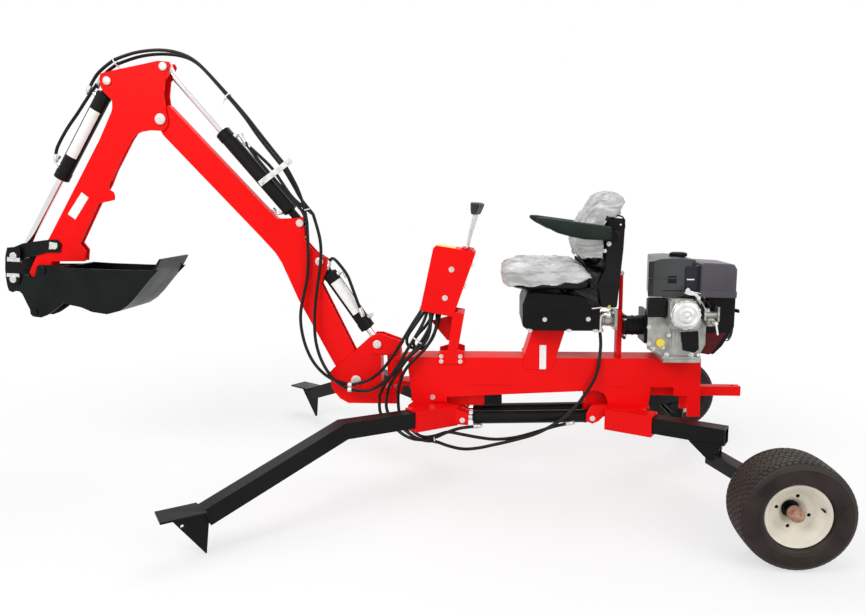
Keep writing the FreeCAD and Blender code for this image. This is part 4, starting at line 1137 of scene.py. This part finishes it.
# --------------------------------------------------------------------- engine
class BACKHOE_OT_engine(bpy.types.Operator):
    """Tank and cap, air cleaner, shroud, head, fins, carburettor, covers, bolts and black sheets of
    painted shade
    """
    bl_idname = "backhoe.engine"
    bl_label = "Engine"

    def execute(self, context):
        self.covers()
        self.castings()
        self.carburettor()
        self.small_things()
        return {"FINISHED"}

    def covers(self):
        for carried, name, material, width in (
                ("fuel_tank", "engine_tank", "tank black", 0.016),
                ("air_cleaner", "air_cleaner_cover", "air cleaner black", 0.012),
                ("fan_shroud", "fan_housing", "black plastic", 0.010),
                ("muffler", "muffler_shield", "satin black", 0.006),
                ("bell_housing", "bell_housing_casting", "black paint", 0.003)):
            softened(carried, name, material, width, 5)
        make("tank_seam", [prism([(698, 958), (903, 958), (903, 963), (698, 963)], -152, -138)],
             "chassis", "black_plastic", "tank black", bevel=1.5)
        rings = [turned([(-4, 0), (-4, 30), (4, 30), (6, 36), (18, 36), (22, 33), (24, 26),
                         (24, 0)], (850, -30, 1042), (0.02, 0, 1), 48)]
        t = np.radians(np.arange(0, 360, 15))
        for c, k in zip(np.cos(t), np.sin(t)):
            rings.append(turned([(6, 0), (6, 3), (19, 3), (20, 0)],
                                (850 + 35.5 * c, -30 + 35.5 * k, 1042), (0, 0, 1), 8))
        make("tank_cap", rings, "chassis", "black_plastic", "satin black")
        # Thin near-black sheets on the tank's near side: painted shade in its recess and in the
        # slot below it
        make("tank_recess", [block_shape((779, -151.5, 938), (816, -148, 971)),
                             block_shape((758, -151.2, 904), (845, -148, 908))],
             "chassis", "black_plastic", "deep black", bevel=1)
        # A satin black sheet on the crankcase's near side: painted shade
        make("crankcase_shade", [prism([(850, 716), (926, 722), (932, 642), (914, 624), (862, 636)],
                                       -127, -112)], "chassis", "black_plastic", "satin black",
             bevel=2)
        make("engine_side_panel", [prism([(852, 1012), (946, 1018), (946, 878), (932, 832),
                                          (932, 800), (872, 862), (852, 874)], -156, -126)],
             "chassis", "black_plastic", "blue black", bevel=3)
        make("panel_label", [block_shape((858, -156.8, 953), (890, -155.5, 958))], "chassis",
             "black_plastic", "blank label")
        make("air_cleaner_base",
             [prism([(909, 880), (1064, 877), (1064, 906), (909, 912)], -184, 63)],
             "chassis", "black_plastic", "air cleaner black", bevel=4)
        make("lower_shroud", [prism([(932, 712), (1052, 714), (1042, 696), (1006, 640), (984, 612),
                                     (926, 622)], -112, 142)],
             "chassis", "black_plastic", "dark red shroud", bevel=5)
        hub = np.array([1088.0, 17.0, 745.0])
        grille = [turned([(0, r - 2.2), (5, r - 1.6), (5, r + 1.6), (0, r + 2.2)], hub,
                         (1, 0, 0), 56, ring=True) for r in range(26, 96, 11)]
        for angle in np.radians(np.arange(0, 360, 30)):
            way = np.array([0, math.cos(angle), math.sin(angle)])
            grille.append(tube([hub + way * 22 + (3, 0, 0), hub + way * 92 + (3, 0, 0)], 2.4, 8))
        grille.append(turned([(0, 0), (0, 24), (8, 23), (10, 20), (10, 0)], hub, (1, 0, 0), 32))
        make("fan_grille", grille, "chassis", "black_plastic", "satin black")
        handle = [(1088, -70, 800), (1100, -72, 803), (1106, -74, 806)]
        make("starter_handle", [tube(handle, [4, 5, 6], 10),
                                block_shape((1100, -92, 799), (1110, -56, 813))],
             "chassis", "black_plastic", bevel=2)
        slits = [block_shape((704, -166.5, z), (772, -164.0, z + 3.5)) for z in range(806, 866, 10)]
        make("muffler_louvres", slits, "chassis", "black_plastic", "satin black", bevel=1)

    def castings(self):
        fins = []
        for k in range(9):
            y = -122 - 8.2 * k
            fins.append(prism([(782, 752), (796, 742), (900, 742), (912, 752), (912, 862),
                               (900, 872), (796, 872), (782, 862)], y - 2.6, y))
        make("cylinder_fins", fins, "chassis", "alloy", bevel=0.8)
        head = (848, -200, 806)
        out = (0, -1, 0)
        cover = [turned([(-14, 0), (-14, 66), (2, 66), (4, 64), (4, 0)], head, out, 8),
                 turned([(2, 0), (2, 60), (12, 57), (17, 50), (18, 45), (15, 41), (15, 36),
                         (20, 33), (23, 26), (23, 20), (19, 16), (19, 9), (21, 6), (22, 0)],
                        head, out, 56)]
        t = np.radians(np.arange(22.5, 360, 90))
        screws = [bolt((head[0] + 57 * c, -204, head[2] + 57 * k), out, 9)
                  for c, k in zip(np.cos(t), np.sin(t))]
        make("rocker_cover", cover, "chassis", "alloy", "bright alloy")
        softened("engine", "crankcase", "cast alloy", 0.004, 3)
        plate = [(704, 806), (716, 838), (736, 840), (742, 800), (800, 770), (806, 700), (780, 640),
                 (726, 634), (706, 660)]
        make("crankcase_cover", [prism(plate, -130, -119)], "chassis", "alloy", bevel=3)
        ring = [(712, 820), (730, 832), (795, 762), (798, 704), (774, 648), (732, 642), (712, 666),
                (710, 740)]
        screws += [bolt((x, -129.5, z), out, 10) for x, z in ring]
        screws += [bolt((x, -151, 620), out, 12) for x in (786, 892)]
        screws += [bolt((x, y, 612), (0, 0, 1), 14) for x in (780, 925) for y in (-134, 92)]
        make("engine_screws", screws, "chassis", "steel")
        make("engine_feet", [block_shape((764, -156, 601), (914, -118, 612)),
                             block_shape((764, 84, 601), (914, 118, 612))],
             "chassis", "alloy", bevel=2)
        ridges = [block_shape((x, -123, 652), (x + 4, -119, 736)) for x in range(812, 917, 15)]
        make("crankcase_ribs", ridges, "chassis", "alloy", bevel=1)

    def carburettor(self):
        body = [turned([(-30, 0), (-30, 20), (-22, 20), (-20, 15), (24, 15), (26, 22), (34, 22),
                        (34, 0)], (965, -152, 800), (1, 0, 0), 32),
                turned([(0, 0), (0, 8), (5, 22), (30, 23), (34, 20), (38, 18), (40, 0)],
                       (966, -152, 748), (0, 0, 1), 32),
                turned([(0, 0), (0, 13), (14, 11), (18, 6), (18, 0)], (950, -158, 814),
                       (0, 0, 1), 20),
                turned([(0, 0), (0, 6), (22, 6), (24, 4), (24, 0)], (966, -168, 770), NEAR, 6),
                block_shape((936, -170, 778), (944, -126, 832)),
                block_shape((992, -170, 772), (1000, -126, 836))]
        make("carburettor_body", body, "chassis", "alloy", replaces=("carburettor",))
        lever = [prism([(840, 900), (852, 924), (862, 920), (868, 905), (890, 905), (910, 878),
                        (906, 866), (884, 890), (860, 892)], -192, -188),
                 tube(smooth_path([(905, -190, 872), (925, -186, 850), (934, -180, 826)]), 2.2, 8),
                 tube(smooth_path([(850, -190, 915), (880, -186, 903), (912, -182, 899),
                                   (930, -178, 878)]), 1.8, 8),
                 turned([(0, 0), (0, 9), (5, 9), (5, 0)], (852, -193, 912), NEAR, 16),
                 turned([(0, 0), (0, 8), (5, 8), (5, 0)], (900, -193, 880), NEAR, 16)]
        make("throttle_linkage", lever, "chassis", "steel")
        make("fuel_tap", [tube([(984, -180, 762), (992, -181, 716)], 4.2, 12),
                          turned([(0, 0), (0, 8), (8, 8), (8, 0)], (983, -176, 766), NEAR, 16)],
             "chassis", "steel", "tie plastic")
        pipe = smooth_path([(900, -140, 882), (930, -172, 870), (952, -176, 850), (958, -172, 836)])
        make("fuel_pipe", [tube(pipe, 4.0, 10)], "chassis", "hose_rubber")
        lead = smooth_path([(912, -150, 790), (930, -190, 800), (905, -212, 850), (870, -175, 890),
                            (862, -150, 900)])
        make("spark_lead", [tube(lead, 3.6, 10),
                            turned([(-14, 0), (-14, 9), (8, 10), (16, 7), (16, 0)],
                                   (916, -146, 788), (-0.6, 0.3, -0.2), 18)],
             "chassis", "black_plastic")

    def small_things(self):
        cap = [(0, 0), (0, 12), (4, 18), (14, 18), (17, 15), (18, 0)]
        grips = [turned([(4, 0), (4, 3), (15, 3), (16, 0)],
                        (760 + 17 * math.cos(a), -128, 671 + 17 * math.sin(a)), NEAR, 8)
                 for a in np.radians(np.arange(0, 360, 45))]
        make("oil_plug", [turned(cap, (760, -128, 671), NEAR, 32)] + grips, "chassis",
             "black_plastic", "yellow label")
        flange = [bolt((723, y, z), (-1, 0, 0), 13) for y in (-58, 58) for z in (668, 792)]
        flange += [bolt((618, -56, z), NEAR, 9) for z in (690, 764)]
        make("bell_bolts", flange, "chassis", "steel")
        ribs = [turned([(0, 43), (0, 46.5), (5, 46.5), (5, 43)], (x, 0, 727), (1, 0, 0), 40,
                       ring=True) for x in (632, 660, 684)]
        make("bell_ribs", ribs, "chassis", "black_paint")


# ----------------------------------------------------------------------- trim
class BACKHOE_OT_trim(bpy.types.Operator):
    """Weld beads, blank plates and the valve block under the frame"""
    bl_idname = "backhoe.trim"
    bl_label = "Welds and plates"

    def execute(self, context):
        for tag, side in SIDES:
            y = side * 26
            make("boom_weld_" + tag, [
                bead([(-1064, y, 1156), (-1024, y, 1190), (-985, y, 1223)], 2.2),
                bead([(-985, y, 1223), (-920, y, 1221), (-852, y, 1217)], 1.6)],
                "boom", "red_paint")
            y = side * 70
            make("frame_weld_" + tag, [
                bead([(-85, y, 453), (20, y, 453), (130, y, 453)], 2.4),
                bead([(554, y, 452), (600, y, 451), (650, y, 449)], 2.4),
                bead([(-372, y, 560), (-366, y, 500), (-366, y, 430)], 3.0)],
                "chassis", "red_paint")
        make("pedestal_plate", [block_shape((234, -75.2, 532), (264, -73.5, 645))], "chassis",
             "red_paint", "blank label")
        make("dipper_plate", [prism([(-2003, 1262), (-1925, 1364), (-1893, 1338), (-1968, 1236)],
                                    -36.2, -34.6)], "dipper", "red_paint", "blank label")
        make("frame_valve_block", [block_shape((-190, -29, 342), (-24, 29, 420))], "chassis",
             "red_paint", bevel=3)
        make("frame_valve_end", [block_shape((-24, -27, 345), (63, 27, 424))], "chassis",
             "black_paint", bevel=3)
        return {"FINISHED"}


# ----------------------------------------------------------------------- pump
class BACKHOE_OT_pump(bpy.types.Operator):
    """Gear pump with its screws and elbow"""
    bl_idname = "backhoe.pump"
    bl_label = "Pump"

    def execute(self, context):
        pump = [turned([(0, 0), (0, 30), (4, 34), (14, 34), (15, 31), (20, 31), (21, 34), (46, 34),
                        (47, 31), (52, 31), (53, 36), (66, 36), (66, 0)], (518, 0, 757),
                       (1, 0, 0), 48),
                block_shape((573, -46, 712), (588, 46, 801)),
                block_shape((530, -38, 746), (560, 38, 768))]
        make("pump_body", pump, "chassis", "alloy", replaces=("hydraulic_pump",), bevel=1.5)
        screws = [bolt((517, 24 * math.cos(a), 757 + 24 * math.sin(a)), (-1, 0, 0), 8)
                  for a in np.radians((45, 135, 225, 315))]
        screws += [bolt((572, y, z), (-1, 0, 0), 10) for y in (-38, 38) for z in (722, 790)]
        make("pump_screws", screws, "chassis", "steel")
        bend = smooth_path([(545, -34, 779), (530, -40, 784), (514, -40, 782), (508, -40, 766),
                            (507, -40, 740), (509, -40, 712)])
        make("pump_elbow", [tube(bend, 12.5, 18),
                            turned([(0, 0), (0, 17), (13, 17), (13, 0)], (509, -40, 716),
                                   (0, 0, -1), 6),
                            turned([(-10, 0), (-10, 15), (6, 17), (6, 0)], (545, -34, 778),
                                   (1, 0.2, -0.2), 20)],
             "chassis", "steel")
        return {"FINISHED"}


# ---------------------------------------------------------------------- hoses
BUCKET_HOSE = [(-1825, -4, 1862), (-1875, -2, 1805), (-1932, 0, 1733), (-1987, 0, 1670),
               (-2032, 0, 1606), (-2060, 0, 1556), (-2061, 0, 1518)]
# The two hoses over the arm, each cut into four runs where the joints are
ARCH_OUTER = [(-1871, -4, 1832), (-1842, -6, 1880), (-1797, -8, 1928), (-1731, -9, 1967),
              (-1661, -9, 1991), (-1579, -9, 2004), (-1493, -9, 2006), (-1413, -9, 1990),
              (-1345, -9, 1957), (-1273, -9, 1884), (-1198, -9, 1798), (-1126, -10, 1716),
              (-1063, -14, 1633), (-999, -20, 1551), (-938, -28, 1477), (-893, -34, 1399),
              (-866, -38, 1330), (-849, -41, 1270), (-841, -43, 1215)]
ARCH_INNER = [(-1826, 9, 1860), (-1806, 9, 1893), (-1768, 8, 1928), (-1725, 8, 1951),
              (-1655, 15, 1977), (-1577, 24, 1993), (-1496, 28, 1995), (-1417, 28, 1984),
              (-1351, 26, 1954), (-1279, 17, 1880), (-1205, 9, 1793), (-1134, 8, 1709),
              (-1076, -2, 1622), (-1013, -8, 1541), (-953, -16, 1468), (-908, -22, 1392),
              (-870, -30, 1322), (-832, -38, 1276), (-811, -42, 1251)]
FRONT, TOP, BACK, TAIL = slice(0, 4), slice(3, 11), slice(10, 15), slice(14, 19)
DIPPER_HOSE = [(-1138, -14, 1606), (-1104, -14, 1548), (-1040, -14, 1468), (-975, -16, 1391),
               (-924, -20, 1331), (-884, -32, 1290), (-856, -40, 1258), (-841, -43, 1215)]
SECOND_HOSE = [(-1124, -10, 1578), (-1062, -12, 1522), (-1002, -14, 1464), (-958, -18, 1396),
               (-915, -24, 1332), (-866, -34, 1290), (-811, -42, 1251)]
# The two loops beside the king pin, each cut where it comes to the chassis
LOOP_A = [(-841, -43, 1215), (-839, -44, 1132), (-840, -44, 1048), (-845, -45, 973),
          (-858, -48, 907), (-878, -54, 832), (-886, -60, 766), (-879, -66, 695),
          (-860, -72, 624), (-828, -78, 558), (-781, -82, 504), (-719, -84, 466),
          (-647, -86, 451), (-575, -88, 466), (-516, -92, 504), (-467, -96, 560),
          (-424, -98, 623), (-381, -96, 694), (-346, -86, 752), (-316, -68, 796),
          (-288, -54, 846), (-266, -50, 905), (-250, -52, 965)]
LOOP_B = [(-811, -42, 1251), (-792, -44, 1187), (-778, -46, 1118), (-779, -48, 1048),
          (-789, -48, 978), (-803, -52, 898), (-814, -58, 814), (-818, -66, 729),
          (-813, -74, 654), (-792, -82, 579), (-757, -88, 513), (-713, -92, 461),
          (-656, -94, 431), (-594, -96, 420), (-536, -98, 433), (-483, -100, 473),
          (-434, -104, 520), (-391, -104, 572), (-344, -100, 612), (-300, -92, 649),
          (-271, -82, 701), (-266, -74, 756), (-270, -56, 820), (-262, -40, 890),
          (-244, -31, 965)]
FALL, RISE = slice(0, 13), slice(12, None)
# Name, points, the two bodies that it runs between, and where it begins to turn
CROSSINGS = (
    ("arch_hose_front", ARCH_OUTER[FRONT], "bucket_barrel", "dipper", 0),
    ("arch_hose_top", ARCH_OUTER[TOP], "dipper", "boom", 0),
    ("arch_hose_back", ARCH_OUTER[BACK], "boom", "dipper_barrel", 0),
    ("arch_hose_tail", ARCH_OUTER[TAIL], "dipper_barrel", "boom", 0),
    ("second_hose", SECOND_HOSE, "dipper_barrel", "boom", 2),
    ("dipper_hose", DIPPER_HOSE, "dipper_barrel", "boom", 3),
    ("inner_hose_front", ARCH_INNER[FRONT], "bucket_barrel", "dipper", 0),
    ("inner_hose_top", ARCH_INNER[TOP], "dipper", "boom", 0),
    ("inner_hose_back", ARCH_INNER[BACK], "boom", "dipper_barrel", 0),
    ("inner_hose_tail", ARCH_INNER[TAIL], "dipper_barrel", "boom", 0),
)
BOOM_HOSE = [(-752, -16, 1008), (-744, -26, 1036), (-724, -34, 1049), (-687, -48, 1011),
             (-654, -52, 966), (-637, -50, 914), (-615, -46, 846), (-595, -40, 786)]
DOWN = ([(-250, -10, 965), (-276, -22, 880), (-282, -40, 807), (-300, -60, 749), (-336, -84, 687),
         (-377, -98, 623), (-410, -104, 563), (-448, -106, 508), (-485, -104, 462),
         (-508, -100, 407), (-515, -94, 357), (-508, -84, 300), (-468, -70, 237)],
        [(-244, 11, 965), (-262, -8, 880), (-260, -30, 805), (-268, -56, 734), (-308, -84, 663),
         (-358, -100, 605), (-401, -106, 549), (-437, -106, 496), (-464, -102, 447),
         (-480, -96, 387), (-481, -86, 321), (-448, -72, 253)],
        [(-250, 32, 965), (-256, 10, 880), (-242, -20, 799), (-240, -50, 719), (-280, -84, 640),
         (-335, -102, 587), (-382, -108, 540), (-411, -106, 482), (-422, -100, 423),
         (-425, -92, 362), (-418, -80, 300), (-382, -66, 237)])
RINGS = ([(-299, -10, 793), (-345, -30, 729), (-387, -50, 671), (-376, -62, 630),
          (-329, -66, 622), (-287, -58, 658), (-269, -40, 722), (-275, -16, 789)],
         [(-258, 10, 785), (-286, -6, 730), (-332, -24, 685), (-360, -40, 645), (-331, -50, 613),
          (-284, -44, 632), (-247, -24, 695), (-229, 0, 777)])
UNDER = ([(-458, -70, 257), (-427, -95, 232), (-376, -120, 208), (-319, -135, 201),
          (-250, -138, 214), (-196, -134, 241), (-138, -124, 259), (-85, -112, 263),
          (-46, -96, 262)],
         [(-392, -58, 250), (-352, -90, 226), (-306, -122, 210), (-245, -142, 226),
          (-191, -138, 248), (-138, -134, 236), (-48, -130, 218), (32, -126, 207),
          (121, -122, 216), (209, -118, 241), (298, -112, 270), (351, -104, 280),
          (380, -93, 282)])
PUMP_HOSE = [(509, -40, 714), (515, -50, 660), (509, -72, 610), (499, -92, 536), (478, -100, 483),
             (444, -106, 430), (401, -112, 367), (349, -118, 317), (288, -126, 276),
             (218, -132, 239), (147, -138, 219), (76, -140, 200), (23, -142, 188),
             (-48, -142, 170), (-120, -142, 163), (-192, -142, 180), (-245, -146, 203),
             (-301, -128, 196), (-361, -98, 208), (-421, -60, 245)]


def hose_radius():
    """Radius of a hose in millimetres."""
    return shop().hose_diameter * 500.0


def hose(name, points, body=None, crossing=None):
    """Hydraulic hose along a smooth route. It rides on one body, or, when it crosses
    from one body to the next, stands loose in the scene."""
    radius = hose_radius()
    path = smooth_path(points)
    piece = make(name, [tube(path, radius, 14)], body or crossing[0], "hose_rubber")
    if crossing:
        piece.parent = None
        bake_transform(piece)


def ferrule(points, far=False):
    """Crimped ferrule and nut on the first or the far end of a hose."""
    path = smooth_path(points)
    tip, back = (path[-1], path[-4]) if far else (path[0], path[3])
    way, r = back - tip, hose_radius()
    return [turned([(-3, 0), (-3, r + 3.0), (5, r + 3.6), (7, r + 1.6), (11, r + 3.2),
                    (14, r + 1.6), (18, r + 3.2), (21, r + 1.6), (25, r + 3.2), (28, r + 0.6),
                    (28, 0)], tip, way, 20),
            turned([(-16, 0), (-16, r + 3.5), (-3, r + 3.5), (-3, 0)], tip, way, 6)]


TIE_THICK, TIE_WIDTH, TIE_POINTS = 1.6, 5.0, 40


def tie_ring(centre, axis, half, height, tail):
    """Cable tie: a flat band round an oval of hoses, with its square lock and tail."""
    u, v, w = axes_of(axis)
    t = np.linspace(0, 2 * np.pi, TIE_POINTS, endpoint=False)
    oval = np.stack([np.sign(c) * np.abs(c) ** 0.75 * span
                     for c, span in ((np.cos(t), half), (np.sin(t), height))], -1)
    loops = []
    for grow, level in ((0, -0.5), (TIE_THICK, -0.5), (TIE_THICK, 0.5), (0, 0.5)):
        flat = oval * (1 + grow / max(half, height))
        loops.append(centre + flat[:, :1] * u + flat[:, 1:] * v + level * TIE_WIDTH * w)
    band = (np.concatenate(loops), sheet_faces(4, TIE_POINTS, True, True).tolist())
    top = np.asarray(centre) + u * half
    lock = [top + a * u + b * v + c * w for a in (-1, 7) for b in (-4, 4) for c in (-4, 4)]
    quads = [[0, 1, 3, 2], [4, 6, 7, 5], [0, 4, 5, 1], [2, 3, 7, 6], [0, 2, 6, 4], [1, 5, 7, 3]]
    end = [top + 3 * u, top + (3 + tail * 0.6) * u + tail * 0.5 * v,
           top + (3 + tail * 0.8) * u + tail * v]
    return [band, (np.array(lock), quads), tube(end, [1.6, 1.5, 1.2], 6)]


class BACKHOE_OT_hoses(bpy.types.Operator):
    """Hydraulic hoses, split where the joints are, with ferrules, ties and clamps"""
    bl_idname = "backhoe.hoses"
    bl_label = "Hoses"

    def execute(self, context):
        hose("bucket_hose", BUCKET_HOSE, "bucket_barrel")
        for name, points, first, second, start in CROSSINGS:
            hose(name, points, crossing=(first, second, points[start], points[-1]))
        for tag, points in (("a", LOOP_A), ("b", LOOP_B)):
            fall, rise = points[FALL], points[RISE]
            hose("loop_hose_" + tag, fall, crossing=("boom", "swing", fall[2], fall[9]))
            hose("loop_hose_%s_rise" % tag, rise,
                 crossing=("swing", "chassis", rise[0], rise[4]))
        hose("boom_hose", BOOM_HOSE, "boom")
        for number, points in enumerate(RINGS, 1):
            hose("ring_hose_%d" % number, points, "chassis")
        for number, points in enumerate(DOWN, 1):
            self.pushed("down_hose_%d" % number, points)
        for number, points in enumerate(UNDER, 1):
            hose("under_hose_%d" % number, points,
                 crossing=("chassis", "near_leg_barrel", points[-4], points[-1]))
        hose("pump_hose", PUMP_HOSE, "chassis")
        self.ends()
        self.ties()
        return {"FINISHED"}

    def pushed(self, name, points):
        """Hose beside the swing post: it is split at its foremost point into two halves,
        each standing loose in the scene."""
        points = np.array(points, float)
        split = min(int(points[:, 0].argmin()), len(points) - 4)
        top, knee, foot = points[3], points[split], points[-1]
        beyond, before = knee + 0.75 * (knee - top), knee + 0.75 * (knee - foot)
        hose(name, points[:split + 1], crossing=("chassis", "swing", top, beyond))
        hose(name + "_foot", points[split:], crossing=("swing", "chassis", before, foot))

    def ends(self):
        """Ferrules at the ports, each on the body that its port belongs to."""
        ports = {"bucket_barrel": [(ARCH_INNER, False), (BUCKET_HOSE, True),
                                   (ARCH_OUTER[FRONT], False)],
                 "dipper_barrel": [(SECOND_HOSE, False), (DIPPER_HOSE, False)],
                 "boom": [(BOOM_HOSE, False), (BOOM_HOSE, True)],
                 "near_leg_barrel": [(p, True) for p in UNDER],
                 "chassis": ([(LOOP_A[RISE], True), (LOOP_B[RISE], True)]
                             + [(p, False) for p in DOWN] + [(p, True) for p in DOWN])}
        for body, ends in ports.items():
            shapes = [shape for points, far in ends for shape in ferrule(points, far)]
            make(body + "_ferrules", shapes, body, "steel")

    def ties(self):
        groups = {
            "dipper": [tie_ring((-1728, 0, 1959), (1, 0, 0.45), 17, 18, tail=30)],
            "boom": [tie_ring((-1204, 0, 1793), (1, 0, -1.1), 17, 18, tail=30),
                     tie_ring((-836, -42, 1272), (0.25, 0, -1), 12, 31, tail=34)],
            "chassis": [tie_ring((-250, -137, 211), (1, 0, 0.1), 11, 12, tail=30),
                        tie_ring((-275, -44, 806), (0.15, -0.1, 1), 46, 34, tail=60),
                        tie_ring((-268, -36, 822), (0.2, 0, 1), 44, 36, tail=20),
                        tie_ring((-330, -92, 668), (0.8, 0.2, 1), 24, 20, tail=30)],
        }
        for body, made in groups.items():
            make(body + "_ties", [shape for ties in made for shape in ties], body, "black_plastic",
                 "tie plastic")
        bar = prism([(-1066, 1402), (-1051, 1380), (-898, 1487), (-913, 1509)], -42, -34)
        make("hose_clamp_bar", [bar, bolt((-1044, -42, 1399), NEAR, 9),
                                bolt((-921, -42, 1487), NEAR, 9)],
             "dipper_barrel", "steel", bevel=1.5)
        r = hose_radius() + 1.5
        clip = [turned([(-9, r), (-9, r + 2), (9, r + 2), (9, r)], (-652, y, z), (1, 0, 0), 24,
                       ring=True) for y, z in ((-86, 451.5), (-94, 430.5))]
        clip.append(prism([(-661, 420), (-643, 420), (-643, 462), (-661, 462)], -78, -70))
        make("swing_hose_clip", clip, "swing", "steel", bevel=0.6)


# ---------------------------------------------------------------------- stage
FLOOR_HALF = 60.0
FLOOR_GREY = 0.86
# Floor and background show this strength where they light, and 1 where they are seen
AMBIENT = 0.62
WHITE_FROM, WHITE_TO = 1.6, 3.4
# Name, place, aim, size and power of each lamp
LAMPS = (
    ("key", (-2.6, -3.6, 4.4), (-0.2, 0, 0.9), 3.0, 150.0),
    ("fill", (3.6, -3.2, 2.6), (0.3, 0, 0.7), 3.0, 55.0),
    ("top", (0.5, 1.8, 4.6), (0.0, 0, 0.8), 3.5, 70.0),
)
PITCH, YAW, ROLL = 0.1488, 0.0809, 0.0108
CAMERA_Y, CAMERA_Z, LENS, SENSOR = -3.2579, 1.2979, 29.13, 36.0


def seen_directly(tree):
    """Value of 1 for rays that should meet a white surrounding."""
    path = node(tree, "LightPath")
    value = path.outputs["Is Camera Ray"]
    for label in ("Is Glossy Ray", "Is Transmission Ray"):
        value = combined(tree, "MAXIMUM", value, path.outputs[label])
    return value


def make_floor():
    """Wide plane, pale where the machine stands and plain white further off."""
    corners = [(x * FLOOR_HALF, y * FLOOR_HALF, 0) for x, y in ((-1, -1), (1, -1), (1, 1), (-1, 1))]
    floor = placed("floor", mesh_of("floor", corners, [(0, 1, 2, 3)]))
    made = bpy.data.materials.new("pale floor")
    made.use_nodes = True
    tree = made.node_tree
    shader = wire(tree, tree.nodes["Principled BSDF"], {
        "Base Color": (FLOOR_GREY, FLOOR_GREY, FLOOR_GREY, 1.0), "Roughness": 0.9,
        "Specular IOR Level": 0.0})
    white = node(tree, "Emission", {"Strength": 1.0})
    far = node(tree, "VectorMath", None, {0: object_space(tree)}, operation="LENGTH")
    fade = node(tree, "MapRange",
                {"From Min": WHITE_FROM, "From Max": WHITE_TO, "To Min": AMBIENT},
                {"Value": far.outputs["Value"]}, interpolation_type="SMOOTHSTEP")
    share = combined(tree, "MULTIPLY", fade.outputs["Result"], seen_directly(tree))
    mix = node(tree, "MixShader", None, {
        "Fac": share, 1: shader.outputs["BSDF"], 2: white.outputs["Emission"]})
    wire(tree, tree.nodes["Material Output"], None, {"Surface": mix.outputs["Shader"]})
    floor.data.materials.append(made)


def make_world():
    """Even light from all round, seen as plain white."""
    world = bpy.data.worlds.new("soft studio")
    world.use_nodes = True
    tree = world.node_tree
    level = node(tree, "MapRange", {"To Min": AMBIENT, "To Max": 1.0},
                 {"Value": seen_directly(tree)})
    wire(tree, tree.nodes["Background"], {"Color": (1.0, 1.0, 1.0, 1.0)},
         {"Strength": level.outputs["Result"]})
    bpy.context.scene.world = world


def make_lamps():
    """A large key lamp high at the front left, a fill at the right and one overhead."""
    for name, place, aim, size, power in LAMPS:
        lamp = bpy.data.lights.new(name, "AREA")
        lamp.shape = "DISK"
        lamp.size = size
        lamp.energy = power
        piece = placed(name, lamp)
        piece.location = place
        piece.rotation_euler = (Vector(aim) - Vector(place)).to_track_quat("-Z", "Y").to_euler()


def make_camera():
    """Camera at standing height on the near side, turned a little to the arm."""
    right = Vector((math.cos(YAW), math.sin(YAW), 0))
    level = Vector((-math.sin(YAW), math.cos(YAW), 0))
    ahead = level * math.cos(PITCH) - Vector((0, 0, 1)) * math.sin(PITCH)
    up = Vector((0, 0, 1)) * math.cos(PITCH) + level * math.sin(PITCH)
    axes = (right * math.cos(ROLL) - up * math.sin(ROLL),
            right * math.sin(ROLL) + up * math.cos(ROLL), -ahead)
    data = bpy.data.cameras.new("camera")
    data.lens = LENS
    data.sensor_width = SENSOR
    camera = placed("camera", data)
    camera.matrix_world = (Matrix.Translation((DATUM, CAMERA_Y, CAMERA_Z))
                           @ Matrix(axes).transposed().to_4x4())
    bpy.context.scene.camera = camera
    bpy.context.scene.view_settings.view_transform = "Standard"


class BACKHOE_OT_stage(bpy.types.Operator):
    """Floor, soft lights and the camera"""
    bl_idname = "backhoe.stage"
    bl_label = "Stage"

    def execute(self, context):
        make_floor()
        make_world()
        make_lamps()
        make_camera()
        return {"FINISHED"}


# ------------------------------------------------------------------- assembly
PIECES = (BACKHOE_OT_finishes, BACKHOE_OT_plates, BACKHOE_OT_pins, BACKHOE_OT_cylinders,
          BACKHOE_OT_wheels, BACKHOE_OT_seat, BACKHOE_OT_controls, BACKHOE_OT_engine,
          BACKHOE_OT_pump, BACKHOE_OT_trim, BACKHOE_OT_hoses, BACKHOE_OT_stage)


class BACKHOE_PT_workshop(bpy.types.Panel):
    """Lists the steps that build the machine"""
    bl_label = "Backhoe"
    bl_idname = "BACKHOE_PT_workshop"
    bl_space_type = "VIEW_3D"
    bl_region_type = "UI"
    bl_category = "Backhoe"

    def draw(self, context):
        for piece in PIECES:
            self.layout.operator(piece.bl_idname)


CLASSES = (PaintSettings, ShopSettings, *PIECES, BACKHOE_PT_workshop)


def register():
    for each in CLASSES:
        bpy.utils.register_class(each)
    bpy.types.Scene.backhoe_paint = bpy.props.PointerProperty(type=PaintSettings)
    bpy.types.Scene.backhoe_shop = bpy.props.PointerProperty(type=ShopSettings)


def unregister():
    del bpy.types.Scene.backhoe_shop
    del bpy.types.Scene.backhoe_paint
    for each in reversed(CLASSES):
        bpy.utils.unregister_class(each)


def main():
    register()
    for piece in PIECES:
        group, name = piece.bl_idname.split(".")
        getattr(getattr(bpy.ops, group), name)()


if __name__ == "__main__":
    main()
